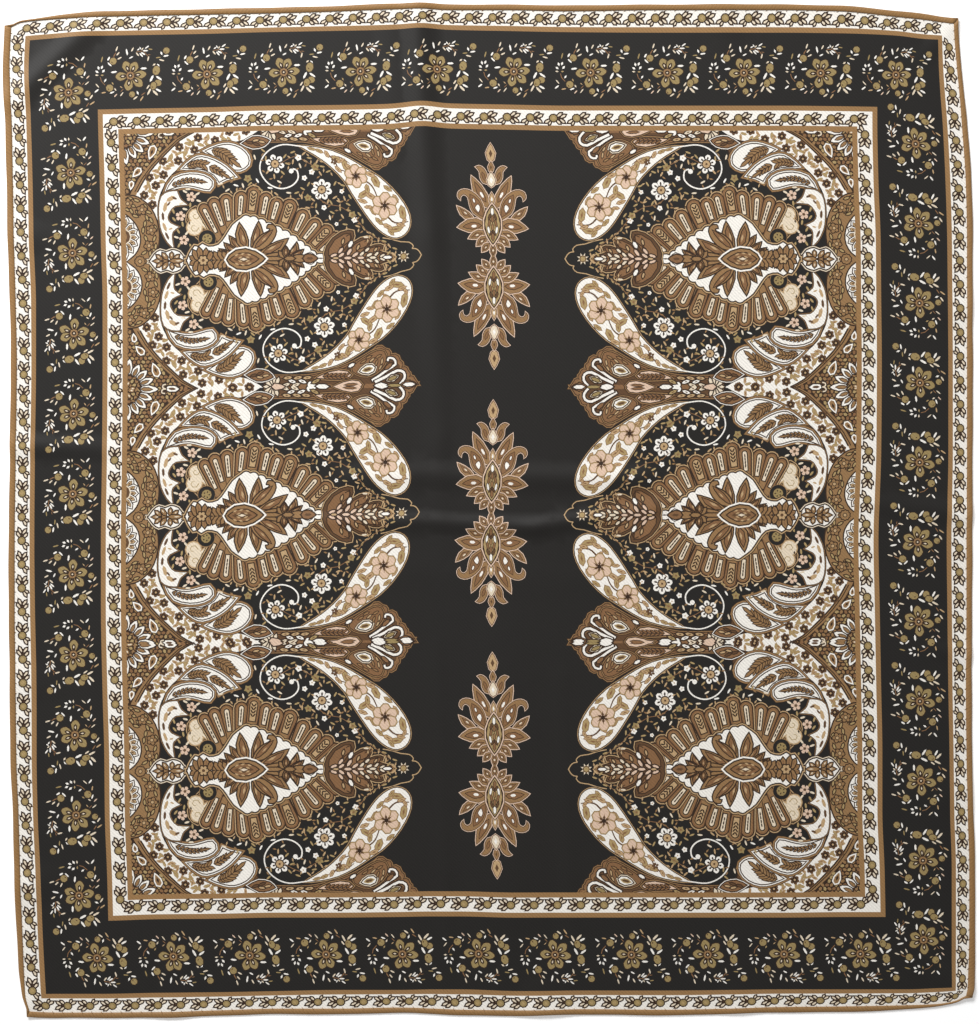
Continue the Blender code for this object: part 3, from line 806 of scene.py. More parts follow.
def lotus_petal(x, y, to_x, to_y, width, bend=0.0):
    """A petal with a dark rim, a brown heart and a pale seed."""
    start, end = (x, y), (to_x, to_y)
    unit.cut(blade(*start, *end, width, bend, 0.8, 1.0, steps=4), "gold", (0.9, "outline"))
    if width > 5:
        unit.cut(blade(*part_way(start, end, 0.16, 0.84), width * 0.56, bend, 0.8, 1.0), "rust",
                 (0.6, "outline"))
        unit.cut(leaf(*along_line(start, end, 0.45), 0.3 * math.dist(start, end), heading(start, end),
                      width * 0.22, steps=1), "tan")


PETALS = (  # from x, y to x, y, width, bend
    (244, 252, 230.6, 236.8, 7.4, -0.05), (239, 255, 225.4, 243.6, 6.8, -0.05),
    (234, 257.5, 220.6, 249.4, 6.2, -0.05), (247, 251.5, 240.6, 224.2, 11.2, -0.05),
    (253, 250, 259.8, 223.4, 10.2, 0.08), (258, 254.5, 281.5, 246.5, 5.6, -0.05),
    (259, 256.5, 288.6, 240.4, 10.6, 0.06), (263, 258.8, 281, 254, 4.4, 0.05),
)
for petal_row in PETALS:
    lotus_petal(*petal_row)
CURLED = ((252, 252), (256, 243), (262.5, 236.6), (269.8, 233), (271.4, 230), (268.4, 229.2),
          (269.6, 226.4), (274.8, 227.2), (277, 232.8), (273, 241.8), (264, 249.6))
unit.cut(bow(CURLED, 2, (0, 5)), "gold", (0.9, "outline"))
unit.cut(blade(256, 248.5, 273.4, 231.6, 4.6, 0.0, 0.8, 1.0, steps=3), "rust", (0.6, "outline"))
unit.cut(leaf(265, 240.4, 7, -45, 1.6, steps=1), "tan")
for k in range(6):
    x = 212 + 4.3 * k
    unit.cut(blade(x + 4, AXIS, x - 1.5, 251.2 + 0.6 * (k % 2), 5.2, -0.05), "gold", (0.7, "outline"))
    unit.cut(blade(x + 3.6, 258.4, x + 0.4, 254.2, 2.0, steps=1), "rust")
for x, y, to_x, to_y, width in ((197, AXIS, 190.6, 256, 5.0), (199, AXIS, 194.0, 249.6, 6),
                                (202, AXIS, 199.6, 246.8, 6), (206, AXIS, 206.8, 248.4, 6),
                                (209, AXIS, 212.0, 251.5, 5.4)):
    unit.cut(blade(x, y, to_x, to_y, width), "gold", (0.8, "outline"))
    unit.cut(blade(*part_way((x, y), (to_x, to_y), 0.4, 0.85), 2.0), "rust")
unit.cut(ringed(6, 203.6, AXIS, 0.5, 5.0, 3.8), "tan", (0.8, "outline"))
unit.cut(oval(203.6, AXIS, 1.7, sides=6), "umber")
for row in ((284, 259, 279.6, 252.8, 4.4), (286, 258.5, 286.5, 248.2, 6.0),
            (289, 258, 297.4, 244.4, 7.0, 0.16), (291, 259, 303.4, 251.6, 5.6, 0.06),
            (292, AXIS, 305, 257.6, 4.4)):
    lotus_petal(*row)
unit.cut(leaf(273, AXIS, 19, 0, 4.2), "gold", (0.8, "outline"))
unit.cut(leaf(290, AXIS, 10, 0, 4.8), "gold", (0.8, "outline"))
unit.cut(leaf(310.5, AXIS, 14, 180, 8.6, foot=0.9, tip=0.6, steps=3), "rust", (0.9, "outline"))
unit.cut(leaf(310, AXIS, 7, 180, 3.4), "umber")
unit.cut(line(((302.5, AXIS), (306, 255.5), (311, 253.6), (315, 256.4)), 0.8, steps=1), "outline")
unit.cut(leaf(321, AXIS, 9, 0, 1.4, steps=1), "outline")
unit.cut(leaf(246.2, AXIS, 37, 0, 20, foot=0.7, tip=0.9, steps=5), "gold", (2.6, "white"), (1.0, "outline"))
unit.cut(leaf(244.5, AXIS, 28, 0, 12.5, steps=4), "rust", (0.7, "outline"))
unit.cut(leaf(244, AXIS, 20, 0, 6.4, steps=3), "umber")
for x, y, turn in ((237, 255.6, -25), (243, 254.6, -15), (249.5, 255.6, 20), (240.5, 258.2, -20),
                   (248, 258.2, 20)):
    unit.cut(leaf(x, y, 4.8, turn, 1.8, steps=1), "tan")
unit.cut(leaf(244, AXIS, 8, 0, 2.8, steps=1), "cream")
print(f"medallion: {len(PETALS)} petals a half")

# %% [markdown]
# ## The cypress tip
# Beyond the medallion's point stands a palmette like a small cypress, with cream sprigs on brown,
# and past it a thin bracket that holds a star.

# %% Cypress tip and bracket
CYPRESS = ((326, AXIS, 353.5, 233.6, 18), (346, AXIS, 371, 240.6, 13.5), (360, AXIS, 383, 248.6, 9.5),
           (340, AXIS, 394, AXIS, 13))
unit.cut([blade(*row, 0, 0.6, 0.62, steps=5) for row in CYPRESS], "umber", (2.1, "outline"), (1.5, "tan"),
         (0.7, "outline"))
for x, y, to_x, to_y, width in CYPRESS:
    start, end = (x, y), (to_x, to_y)
    unit.cut(blade(*part_way(start, end, 0.12, 0.9), width * 0.7, 0, 0.7, 0.7, steps=3),
             "rust", (0.5, "outline"))
unit.cut(line(((340, 250), (346.5, 246), (352.5, 240.5), (350.5, 236.8), (346.5, 238.5)), 1.1, 0.9,
              steps=2), "outline")
unit.cut(line(((356, 252), (364, 250), (369.5, 246), (368, 242.8), (364.8, 244.4)), 1.0, 0.8, steps=2),
         "outline")
CYPRESS_LEAVES = (  # x, y, length, turn, width, ink
    (351, 246.2, 7.5, -60, 4.2, "white"), (367.5, 252, 5.5, -42, 3.0, "cream"),
    (341, 252.5, 7, -50, 3.2, "pink"), (334, 257.2, 7, -20, 3.2, "pink"),
    (341.6, 257, 7, -35, 3.2, "pink"), (349.5, 254, 8, -55, 3.6, "pink"),
    (355.5, 256.8, 7.5, -35, 3.4, "pink"), (362, 256.2, 6.5, -45, 3.0, "cream"),
    (369.5, 257.2, 6.4, -25, 3.0, "cream"), (376.5, 256.6, 6, -45, 2.8, "cream"),
    (382.5, 258.2, 5.4, -25, 2.6, "cream"), (343.5, 243.5, 5.6, -75, 2.4, "tan"),
    (358.5, 249.5, 5.6, -65, 2.4, "tan"), (376, 252, 4.6, -50, 2.2, "tan"),
    (387.5, AXIS, 9, 0, 3.6, "white"), (373, AXIS, 7, 0, 3.0, "cream"), (361, AXIS, 7, 0, 3.2, "pink"),
    (348, AXIS, 8, 0, 3.4, "pink"), (336, AXIS, 6, 0, 2.6, "tan"),
)
for x, y, length, turn, width, ink in CYPRESS_LEAVES:
    unit.cut(leaf(x, y, length, turn, width), ink, (0.7, "outline"))
unit.cut(line(((383, 240.5), (392, 242.2), (401, 245.2), (409.5, 246.5), (413.5, 250.5), (412.2, 253)),
              1.0, steps=2), "tan")
unit.cut(line(((412.2, 253), (416, 253.6), (419, 256), (421.5, AXIS + 0.5)), 1.0, steps=2), "tan")
unit.cut(ringed(8, 403.5, AXIS, 1.5, 6.2, 1.6, 22.5, steps=1), "cream")
unit.cut(ringed(8, 403.5, AXIS, 1.5, 4.2, 1.6, steps=1), "bud")
unit.cut(oval(403.5, AXIS, 2.6), "bud", (0.5, "umber"))
print("cypress tip cut")

# %% [markdown]
# ## The seam's bouquet
# On the seam between two rows a stem of cream leaves opens into a scalloped bouquet. Its outer rim
# is a brown scallop, and inside it stand white-edged petals, a pink paisley and a heart.

# %% Bouquet on the seam
STEM_EDGE = ((266, 143), (284.8, 142.6), (306, 142.8), (320, 145.4), (334.4, 149.1), (344, 152.6),
             (353.3, 156.7), (363, 162), (373, 168))
SCALLOP_CUSPS = ((373, 168), (384.5, 168.4), (389, 162.2), (399, 156.4), (400.2, 149.4), (407, 145.4),
                 (407.6, 139.4), (413.6, 137), (417.4, SEAM_EDGE))
bouquet = np.vstack([smooth(STEM_EDGE, 2)[:-1], scallops(SCALLOP_CUSPS[:-1], -0.3, 3),
                     [(417.4, SEAM_EDGE), (266, SEAM_EDGE)]])
unit.cut(bouquet, "rust", (1.9, "outline"), (1.2, "gold"), (0.4, "outline"))
unit.cut(grown(bouquet, -3.2), "umber")
unit.cut(line([(x, y - 2.0) for x, y in STEM_EDGE], 0.8, steps=1), "outline")
unit.cut(line([(x, y - 4.0) for x, y in STEM_EDGE[3:]], 0.8, steps=1), "outline")
unit.cut(scallops([(x - 2.6, y - 2.2) for x, y in SCALLOP_CUSPS[:-1]], -0.3, 3), "umber", (0.5, "gold"))
PAISLEY_HEAD = ((352, 147), (361, 142.5), (371, 143.2), (380, 149.5), (385, 158), (383, 166),
                (375.5, 166.6), (363, 160), (353, 152.5))
unit.cut(bow(PAISLEY_HEAD, 2), "rust", (1.9, "outline"), (1.2, "gold"), (0.4, "outline"))
unit.cut(leaf(366.5, 148.6, 15, 14, 8.4, foot=0.9, tip=0.6, steps=3), "white", (2.2, "outline"),
         (1.5, "cream"), (0.7, "outline"))
unit.cut(leaf(366.5, 148.6, 8, 14, 3.0), "umber", (0.8, "bud"))
for x, y, turn in ((371, 158, 40), (375.5, 155, 70), (377.5, 161.5, 30), (368, 161, 25),
                   (362.5, 156.5, 30), (379.5, 150.8, 60), (381, 156.5, 80)):
    unit.cut(leaf(x, y, 6, turn, 2.0), "gold" if turn % 20 else "tan", (0.4, "outline"))
for points, width in ((((371, 137.6), (379, 142.6), (387, 148.4), (394.6, 153.2), (392.6, 158.8),
                        (387.6, 159.6), (386.8, 156.6)), 2.3),
                      (((374, 136), (386, 141.6), (396, 146.8), (402.6, 144.8), (403.6, 139),
                        (399, 133.2)), 2.6)):
    unit.cut(line(points, width, width * 0.8, steps=2), "white", (0.8, "outline"))
unit.cut(leaf(391.6, 139.4, 13.5, 22, 6.4, steps=3), "cream", (0.9, "outline"))
unit.cut(leaf(391.6, 139.4, 9.5, 22, 3.8), "olive", (0.5, "outline"))
unit.cut(leaf(387.5, 151.4, 9, 42, 4.0), "rust", (0.6, "outline"))
unit.cut(leaf(408, SEAM, 15, 0, 7.4, steps=3), "rust", (0.6, "outline"))
unit.cut(leaf(408.5, SEAM, 11, 0, 4.2), "white", (0.7, "outline"))
unit.cut(leaf(381, SEAM, 13, 0, 5.6, steps=3), "white", (0.9, "outline"))
unit.cut(leaf(394, SEAM, 13, 0, 3.0), "olive", (0.6, "outline"))
unit.cut(blade(316, 140.8, 350, 143.4, 8.6, 0.04, 1.0, 0.5, steps=4), "pink", (2.4, "outline"),
         (1.6, "gold"), (0.6, "outline"))
unit.cut(line(((323, 141.6), (334, 142.6), (345, 143.4)), 0.7, steps=1), "outline")
for k in range(6):
    x = 322.5 + 4.2 * k
    for side in (-1, 1):
        unit.cut(blade(x, 142.2, x + 5.2, 142.4 + side * 2.8, 1.8), "rust", (0.3, "outline"))
unit.cut(blade(333, SEAM, 361, SEAM + 1.5, 7.4, 0.05, 1.2, 0.45, steps=4), "pink", (2.0, "outline"),
         (1.2, "gold"), (0.5, "outline"))
unit.cut(leaf(350, 133.8, 13, 3, 2.4), "rust", (0.3, "outline"))
unit.cut(leaf(350.5, 153.0, 7, 30, 3.6), "white", (0.7, "outline"))
unit.cut([oval(309.5, 134.4, 2.8, sides=7), blade(308, SEAM, 316, SEAM, 6.6)], "white", (0.8, "outline"))
unit.cut(leaf(322, SEAM, 12, 0, 5.0), "white", (0.9, "outline"))
for x, y, turn, ink in ((291.5, 137.4, -20, "white"), (301.5, 137.4, -20, "white"),
                        (285, 133.8, 20, "cream"), (295, 133.8, 20, "cream"), (297, 141, 12, "tan"),
                        (287, 141, 8, "tan"), (306.5, 141, 8, "tan"), (315, 137.4, 25, "bud")):
    unit.cut(leaf(x, y, 8.6, turn, 3.6), ink, (0.8, "outline"))
    unit.cut(leaf(x, y, 4.0, turn, 1.2, steps=1), "umber")
for turn, reach in ((180, 11.5), (152, 12.5), (125, 12), (100, 11), (72, 10)):
    unit.cut(blade(275, SEAM, *onward(275, SEAM, turn, reach), 4.0), "cream", (0.8, "outline"))
unit.cut(blade(272, SEAM, 284, SEAM, 6.0, foot=0.6), "pink", (0.8, "outline"))
unit.cut(bow(((246, 144.5), (256, 138.6), (266, 139.2), (272, 142.0), (267, 147.0), (256, 149.0)), 2,
             (0, 3)), "rust",
         (2.2, "outline"), (1.4, "white"), (0.7, "outline"))
for x, y, turn in ((253, 143.8, 15), (259, 141.8, -10), (265, 143.4, 10), (259.5, 145.6, 20)):
    unit.cut(leaf(x, y, 6.4, turn, 2.4), "umber" if turn > 12 else "tan", (0.5, "outline"))
print("bouquet cut")

# %% [markdown]
# ## The flowered paisley and its tendril
# A long white paisley swings out from the stem, strewn with pink flowers, tan leaves and dark
# stems. From its tail a white tendril curls back over the black ground.

# %% Flowered paisley
PAISLEY = ((302, 147.6), (319, 149.4), (335.5, 153.4), (352, 161.4), (367.5, 171.2), (381, 180),
           (394, 192.6), (404.5, 207), (410, 220), (410, 230.5), (405.5, 237.6), (397.5, 240.8),
           (388.5, 238.4), (379, 231.4), (371, 221.8), (362.2, 208.6), (354, 195.5), (346.3, 182.4),
           (335.5, 170.6), (324, 161), (312.5, 153.6))
drop = bow(PAISLEY, 2, (0,))
unit.cut(drop, "white", (1.9, "outline"), (1.1, "tan"), (0.5, "outline"))
PAISLEY_STEMS = (  # points, width, end width
    (((331, 157), (337, 163), (341, 171), (349, 174)), 1.5, 1.0),
    (((355, 186), (366, 183.5), (374, 189), (379, 200)), 1.9, 1.1),
    (((388, 219), (396, 226), (409, 226)), 1.9, 1.1), (((334, 158), (344, 160), (352, 166)), 1.2, 0.7),
)
for points, width, end_width in PAISLEY_STEMS:
    unit.cut(line(points, width, end_width), "umber")
PAISLEY_FOLIAGE = (  # x, y, length, turn, width, ink
    (347.5, 167.5, 11, 70, 5.2, "bud"), (351.5, 169.5, 9, 35, 3.6, "tan"),
    (338.5, 160.5, 9, 20, 4.0, "bud"), (329.5, 156.2, 7, 60, 3.4, "tan"), (322, 153.0, 8, 25, 3.0, "bud"),
    (343, 163, 8, -20, 3.4, "tan"), (377.5, 184, 13, 62, 6.6, "bud"), (372.4, 177, 10, 25, 4.2, "tan"),
    (382.5, 181, 8, 80, 3.8, "tan"), (365.5, 196.5, 12, 150, 5.8, "bud"), (372, 198.5, 11, 35, 5.0, "tan"),
    (369, 191.5, 9, 80, 4.4, "bud"), (364, 203.5, 9, 20, 3.6, "tan"), (376.5, 204.5, 8, 95, 3.6, "bud"),
    (403.5, 216.5, 14, 80, 6.6, "bud"), (407.4, 212, 7, 60, 3.2, "tan"),
    (396.5, 232.4, 13, -8, 6.0, "bud"), (401.5, 228.6, 8, 15, 3.6, "tan"),
    (388.5, 229.5, 10, 30, 4.2, "tan"), (391.5, 235, 8, 50, 3.4, "bud"), (397, 202, 9, 60, 3.8, "tan"),
    (374, 213, 10, 60, 4.2, "bud"), (369.5, 209.5, 7, 0, 3.0, "tan"), (349.5, 184.5, 9, 60, 4.0, "tan"),
    (389.5, 191.5, 9, 35, 3.6, "bud"), (380, 224, 9, 45, 3.6, "bud"), (340.5, 171.5, 8, 45, 3.0, "tan"),
    (361.5, 166.5, 9, 25, 3.2, "tan"), (314.5, 150.8, 8, 15, 2.4, "bud"), (385, 221.5, 6, -30, 2.6, "tan"),
    (405, 225, 6, -60, 3.0, "tan"), (366, 170.5, 6, 60, 2.6, "bud"),
)
for x, y, length, turn, width, ink in PAISLEY_FOLIAGE:
    foliage = leaf(x, y, 1.04 * length, turn, 1.16 * width)
    if all(inside(drop, *corner) for corner in foliage):
        unit.cut(foliage, ink, (0.2, "rust"))
        unit.cut(leaf(x, y, length * 0.55, turn, width * 0.34, steps=1), "rust")
for x, y, reach in ((358, 178.5, 10.8), (386, 208.5, 12.4)):
    for k in range(6):
        turn = 60 * k + 0.4 * x
        unit.cut(petal(x, y, turn, 1.5, reach, reach * 0.76, 0.4), "pink", (0.9, "rust"), (0.4, "bud"))
        unit.cut(blade(x, y, *onward(x, y, turn, 0.62 * reach), 1.3, steps=1), "gold")
    unit.cut(ringed(6, x, y, 0.5, reach * 0.46, 2.9, 0.4 * x, steps=1), "umber")
    unit.cut(oval(x, y, 2.2, sides=7), "outline")
unit.cut(ringed(5, 336.5, 163.5, 0.5, 3.6, 3.0, 10), "umber")
unit.cut(line(((304, 148.2), (286, 146.4), (272.5, 151.6), (264, 161.5), (262.8, 173.6), (270.5, 185),
               (282.3, 190.2), (293.5, 187.6), (300, 180.6), (299.4, 172.5), (295, 170.6)), 1.2, 1.5,
               steps=4), "white")
unit.cut(oval(293.6, 172.8, 2.5), "white")
print("paisley and tendril cut")

# %% [markdown]
# ## Flowers on the black ground
# White six-petalled flowers, small blossoms and a scatter of tiny leaves fill the ground between
# the feathers and the paisley.

# %% White flowers and scattered leaves
for x, y, reach, count in ((277.5, 165.5, 9.4, 6), (323.5, 191.5, 10.4, 7)):
    for k in range(count):
        unit.cut(petal(x, y, 15 + 360 * k / count, 3.0, reach, reach * 0.62, 0.35), "white")
    unit.cut(ringed(count, x, y, 4.6, reach - 2.0, 2.2, 15), "outline")
    unit.cut(oval(x, y, 3.8), "tan", (0.7, "outline"))
    unit.cut(oval(x, y, 1.3, sides=5), "umber")
for x, y, wide in ((301, 159.5, 3.6), (306.5, 179.8, 3.0), (325.4, 209.5, 3.0), (343.5, 193.5, 2.6),
                   (355.5, 222, 3.4), (337.5, 226, 2.2), (314, 173.8, 3.2)):
    unit.cut(ringed(5, x, y, 0.2, wide, wide, 8 * x, foot=0.5, tip=0.4, steps=1), "white")
    unit.cut(oval(x, y, 0.9, sides=4), "tan")
for x, y, reach in ((250, 179.6, 4.4), (317.5, 169, 4.6), (353.5, 217, 4.2), (309.5, 199.5, 4.0)):
    unit.cut(ringed(5, x, y, 0.2, reach, reach * 0.8, 9 * x, steps=1), "olive")
    unit.cut(oval(x, y, 1.2, sides=5), "rust")
SCATTER = (  # x, y, turn, ink: small leaves on the black ground
    (257.5, 158.5, 75, "cream"), (259.5, 182, 60, "white"), (238, 186, 20, "white"),
    (229.5, 190.5, -30, "cream"), (272, 189.5, 10, "white"), (278, 195.5, 40, "tan"),
    (266, 152, 40, "bud"), (268.5, 160, 95, "bud"), (287.5, 158, -50, "bud"), (290, 165.5, 20, "bud"),
    (285, 174.5, 45, "bud"), (276.5, 178, 85, "tan"), (281.5, 183.5, 30, "cream"),
    (270, 173.5, 130, "tan"), (295.5, 154, -20, "bud"), (306.5, 155.5, -40, "tan"), (308, 163, 30, "tan"),
    (295.5, 163.5, 100, "tan"), (302.5, 167.5, 70, "cream"), (312, 160, 10, "bud"),
    (319.5, 163.5, -60, "tan"), (324.5, 168.5, 10, "bud"), (322.5, 175.5, 60, "tan"),
    (330.5, 173.5, -20, "bud"), (310.5, 186, -60, "bud"), (304.5, 190.5, 30, "bud"),
    (298.5, 194.5, -20, "bud"), (303.5, 198.5, 90, "tan"), (314.5, 201.5, 40, "tan"),
    (317.5, 207.5, 100, "bud"), (332.5, 204.5, 60, "bud"), (336.5, 199.5, -30, "tan"),
    (337, 185.5, -60, "bud"), (340.5, 203.5, 20, "tan"), (346, 200.5, 70, "tan"),
    (349.5, 206.5, 30, "bud"), (341.5, 210.5, 90, "bud"), (333.5, 214.5, 30, "bud"),
    (343.5, 218.5, 60, "tan"), (349.5, 212.5, 10, "bud"), (360.5, 216.5, 50, "bud"),
    (358.5, 228.5, 20, "tan"), (364.5, 230.5, 60, "bud"), (369.5, 235, 20, "tan"), (374.5, 238, 60, "bud"),
    (379, 242.5, 100, "tan"), (384.5, 244, 20, "bud"), (389.5, 248.5, 60, "tan"), (395, 251.5, 20, "bud"),
    (389, 255.5, -50, "bud"), (386, 251.5, 100, "tan"), (394, 257, 40, "tan"), (346, 226.5, 10, "bud"),
    (363.5, 223.5, 85, "bud"), (331, 219.5, 80, "cream"), (309, 209.5, 10, "tan"),
    (222.5, 184, -15, "cream"), (245, 186.5, 75, "cream"), (252, 185, -40, "bud"), (236, 178.5, 60, "bud"),
    (290.5, 194.5, 5, "cream"), (262.5, 191, 30, "bud"), (318.5, 214, 60, "cream"),
    (344.5, 187.5, 20, "bud"), (351.5, 199, 60, "bud"), (329.5, 203.5, 110, "tan"),
    (366.5, 239.5, 5, "cream"),
)
for x, y, turn, ink in SCATTER:
    unit.cut(leaf(x, y, 5.8, turn, 2.2), ink)
    unit.cut(leaf(*onward(x, y, turn + 60, 4.2), 4.6, turn + 85, 1.7, steps=1),
             "gold" if turn > 20 else "tan")
for points in (((304, 161), (313, 166), (322, 172)), ((318, 198), (328, 206), (340, 208), (350, 214)),
               ((355, 218), (366, 232), (378, 241), (390, 250)), ((282, 166), (290, 161), (298, 158))):
    unit.cut(line(points, 0.7, steps=2), "rust")
print(f"the quarter unit has {sum(len(o) for o, _ in unit.shapes)} points")

# %% [markdown]
# ## Palmettes down the middle
# Down the plain black middle stand three pairs of lotus palmettes, foot to foot on each row's axis.
# Half of one is charted, from the axis at 0 upwards and from the middle to the left. It is printed
# mirrored both ways.

# %% Half a palmette
palmette = Block()
PALMETTE_PETALS = (  # from x, y to x, y, width, bend, seed's share of the way or 0
    (-3, -50, -20.6, -82.6, 12.6, -0.02, 0.42), (-20, -38, -36.4, -50.8, 8.0, -0.06, 0.5),
    (-6, -32, -36.2, -29.4, 15.6, 0.03, 0.45), (-8, -25, -25.0, -18.2, 8.6, 0.03, 0.5),
    (-6, -20, -17.0, -10.6, 8.4, 0.03, 0.5), (-4, -13, -11.4, -4.6, 7.0, 0.03, 0.5),
    (-0.4, -12, -0.4, 0.4, 5.6, 0, 0.5),
)
for x, y, to_x, to_y, width, bend, seed in PALMETTE_PETALS:
    palmette.cut(blade(x, y, to_x, to_y, 0.92 * width, bend, 0.8, 1.0, steps=4), "gold", (1.0, "pink"),
                 (0.1, "outline"))
    start, end = (x, y), (to_x, to_y)
    palmette.cut(blade(*part_way(start, end, 0.2, 0.82), width * 0.44, bend, 0.8, 1.0,
                       steps=3 if width > 9 else 1),
                 "rust", (0.3, "outline"))
    palmette.cut(leaf(*along_line(start, end, seed), max(2.4, 0.2 * math.dist(start, end)),
                      heading(start, end),
                      max(1.2, width * 0.24)), "white" if width > 9 else "cream")
CURLED_PETAL = ((-8.3, -37), (-19.6, -44.5), (-23.3, -53), (-24.8, -61), (-29.6, -64.2), (-33.2, -61.4),
                (-33.6, -58.6), (-35.6, -61.6), (-34.4, -66.4), (-29, -68.8), (-21.4, -67), (-12.6, -59.4),
                (-8.6, -48))
palmette.cut(bow(CURLED_PETAL, 2, (0, 6)), "gold", (0.9, "pink"), (0.2, "outline"))
palmette.cut(bow([(-9.8, -41), (-18.4, -47), (-21.6, -55), (-22.6, -63.4), (-14.4, -57.6), (-10.6, -49)],
                 2, (0,)), "rust", (0.5, "umber"))
palmette.cut(bow([(-14.5, -45.5), (-17.8, -50), (-14.6, -53.5), (-13, -49.5)], 2, (0,)), "white",
             (0.6, "umber"))
palmette.cut(leaf(-19, -57.6, 4.6, -110, 2.2), "white", (0.5, "umber"))
SIDE_CURL = ((-3.6, -75.5), (-8.4, -76.6), (-11.4, -82), (-11.8, -88), (-15.6, -92.6), (-12.6, -93.6),
             (-8.2, -91.4), (-5.0, -86), (-4.2, -80))
palmette.cut(bow(SIDE_CURL, 2, (0, 4)), "gold", (0.9, "pink"), (0.2, "outline"))
palmette.cut(leaf(-8, -83, 8, -110, 2.6), "rust", (0.5, "umber"))
for x, y, length, width, ink in ((0, -107.4, 18.5, 9.6, "tan"), (0, -92.8, 10, 5.4, "gold"),
                                 (0, -79.6, 15, 9.0, "cream"), (0, -59.4, 12.5, 5.6, "tan")):
    palmette.cut(blade(x, y + length / 2, x, y - length / 2, width, 0, 0.8, 1.1, steps=3), ink,
                 (0.9, "pink"), (0.3, "umber"))
    palmette.cut(blade(x, y + length * 0.26, x, y - length * 0.2, width * 0.4, steps=1),
                 "white" if y > -80 else "umber")
palmette.cut(leaf(0, -33, 43, -90, 18.6, steps=6), "outline", (1.5, "outline"), (0.9, "pink"))
palmette.cut(leaf(0, -33, 39.5, -90, 15.8, steps=5), "bud")
MANDORLA_LEAVES = (  # x, y, length, turn, width, ink
    (0, -46.5, 8, -90, 3.6, "white"), (-3.0, -41, 7, -70, 2.4, "umber"), (-3.4, -34, 8, -80, 2.6, "rust"),
    (0, -38.5, 7, -90, 3.0, "rust"), (-4.2, -27, 8, -100, 2.8, "white"), (0, -30, 7, -90, 3.0, "gold"),
    (-1.8, -24, 6, -60, 2.0, "umber"), (0, -20, 8, -90, 3.6, "rust"),
)
for x, y, length, turn, width, ink in MANDORLA_LEAVES:
    palmette.cut(leaf(x, y, length, turn, width), ink, (0.2, "outline"))
print(f"half a palmette has {sum(len(o) for o, _ in palmette.shapes)} points")

# %% [markdown]
# ## Printing
# The square is printed from the ground up: first the hem's brown over the whole cloth, then the
# stripes and the dark border, and last the frame round the field and the small motifs of bands and
# border. The field's two halves are printed apart, because the cloth's mesh is made in three pieces
# that meet inside a plain brown stripe: one mesh of the whole print would have too many triangles.

# %% Print the square
EDGE_BEYOND = 0.4     # millimetres of cloth that run on into each roll
BOUND_SPACING = 7.0   # steps between the points of a piece's edge
FIELD_LEFT, FIELD_TOP, FIELD_BOTTOM = 126.6, 130.8, 890.7
WINDOW_LEFT, WINDOW_TOP, WINDOW_RIGHT, WINDOW_BOTTOM = 124.0, 128.3, 428.0, 893.5


def oblong(left, top, right, bottom):
    return np.array(((left, top), (right, top), (right, bottom), (left, bottom)), float)


def frame_bars(left, top, right, bottom, width):
    """The four bars of a stripe of that width that runs inside a rectangle."""
    return [oblong(left, top, right, top + width), oblong(left, bottom - width, right, bottom),
            oblong(left, top, left + width, bottom), oblong(right - width, top, right, bottom)]


def spaced(corners, spacing=BOUND_SPACING):
    """Points round a closed outline, at about that spacing, corners included."""
    ring = []
    for start, end in zip(corners, np.roll(corners, -1, 0)):
        cells = max(1, round(np.linalg.norm(end - start) / spacing))
        ring.append(start + (end - start) * np.arange(cells)[:, None] / cells)
    return np.vstack(ring)


def mirrored(outline):
    """The outline on the other side of the cloth's middle, run through the other way."""
    return ((2 * CHART_MIDDLE[0], 0) + outline * (-1, 1))[::-1]


half_u, half_v = (HEM_LINE_U + EDGE_BEYOND) / STEP, (HEM_LINE_V + EDGE_BEYOND) / STEP
bound = oblong(CHART_MIDDLE[0] - half_u, CHART_MIDDLE[1] - half_v, CHART_MIDDLE[0] + half_u,
               CHART_MIDDLE[1] + half_v)
window = np.array(((WINDOW_LEFT, WINDOW_TOP), (WINDOW_RIGHT, WINDOW_TOP), (WINDOW_RIGHT, FIELD_TOP),
                   (WINDOW_RIGHT, FIELD_BOTTOM), (WINDOW_RIGHT, WINDOW_BOTTOM),
                   (WINDOW_LEFT, WINDOW_BOTTOM)))
STRIPES = (  # left, top, right, bottom, ink
    (13.9, 11.1, 967.1, 1010.4, "white"), (30.1, 27.3, 950.9, 994.2, "stripe"),
    (35.0, 32.25, 946.0, 989.25, "black"),
)
FRAMES = (  # left, top, right, bottom, width, ink
    (101.6, 105.8, 879.4, 915.7, 25, "stripe"), (106.5, 110.7, 874.5, 910.8, 15, "white"),
)
ROWS = (258.0, 514.0, 770.0)
LEFT_SHIFTS = ((-0.5, 0.4), (-1.5, 0.0), (-3.0, -2.2))     # how far each row's print strays, left half
RIGHT_SHIFTS = ((-4.5, 0.6), (-5.0, 0.2), (-5.8, -2.2))    # and right half, before it is mirrored
PALMETTE_SIZE = (0.945, 0.955)
PALMETTE_SHIFTS = ((2.1, -1.0), (1.2, -1.0), (1.2, -5.5))


def field_places(shifts):
    """Places of the quarter unit: twice in each row, mirrored about the row's axis."""
    return [(np.diag((1.0, sy)), np.array((shift, row + stray - sy * AXIS)))
            for row, (shift, stray) in zip(ROWS, shifts) for sy in (1, -1)]


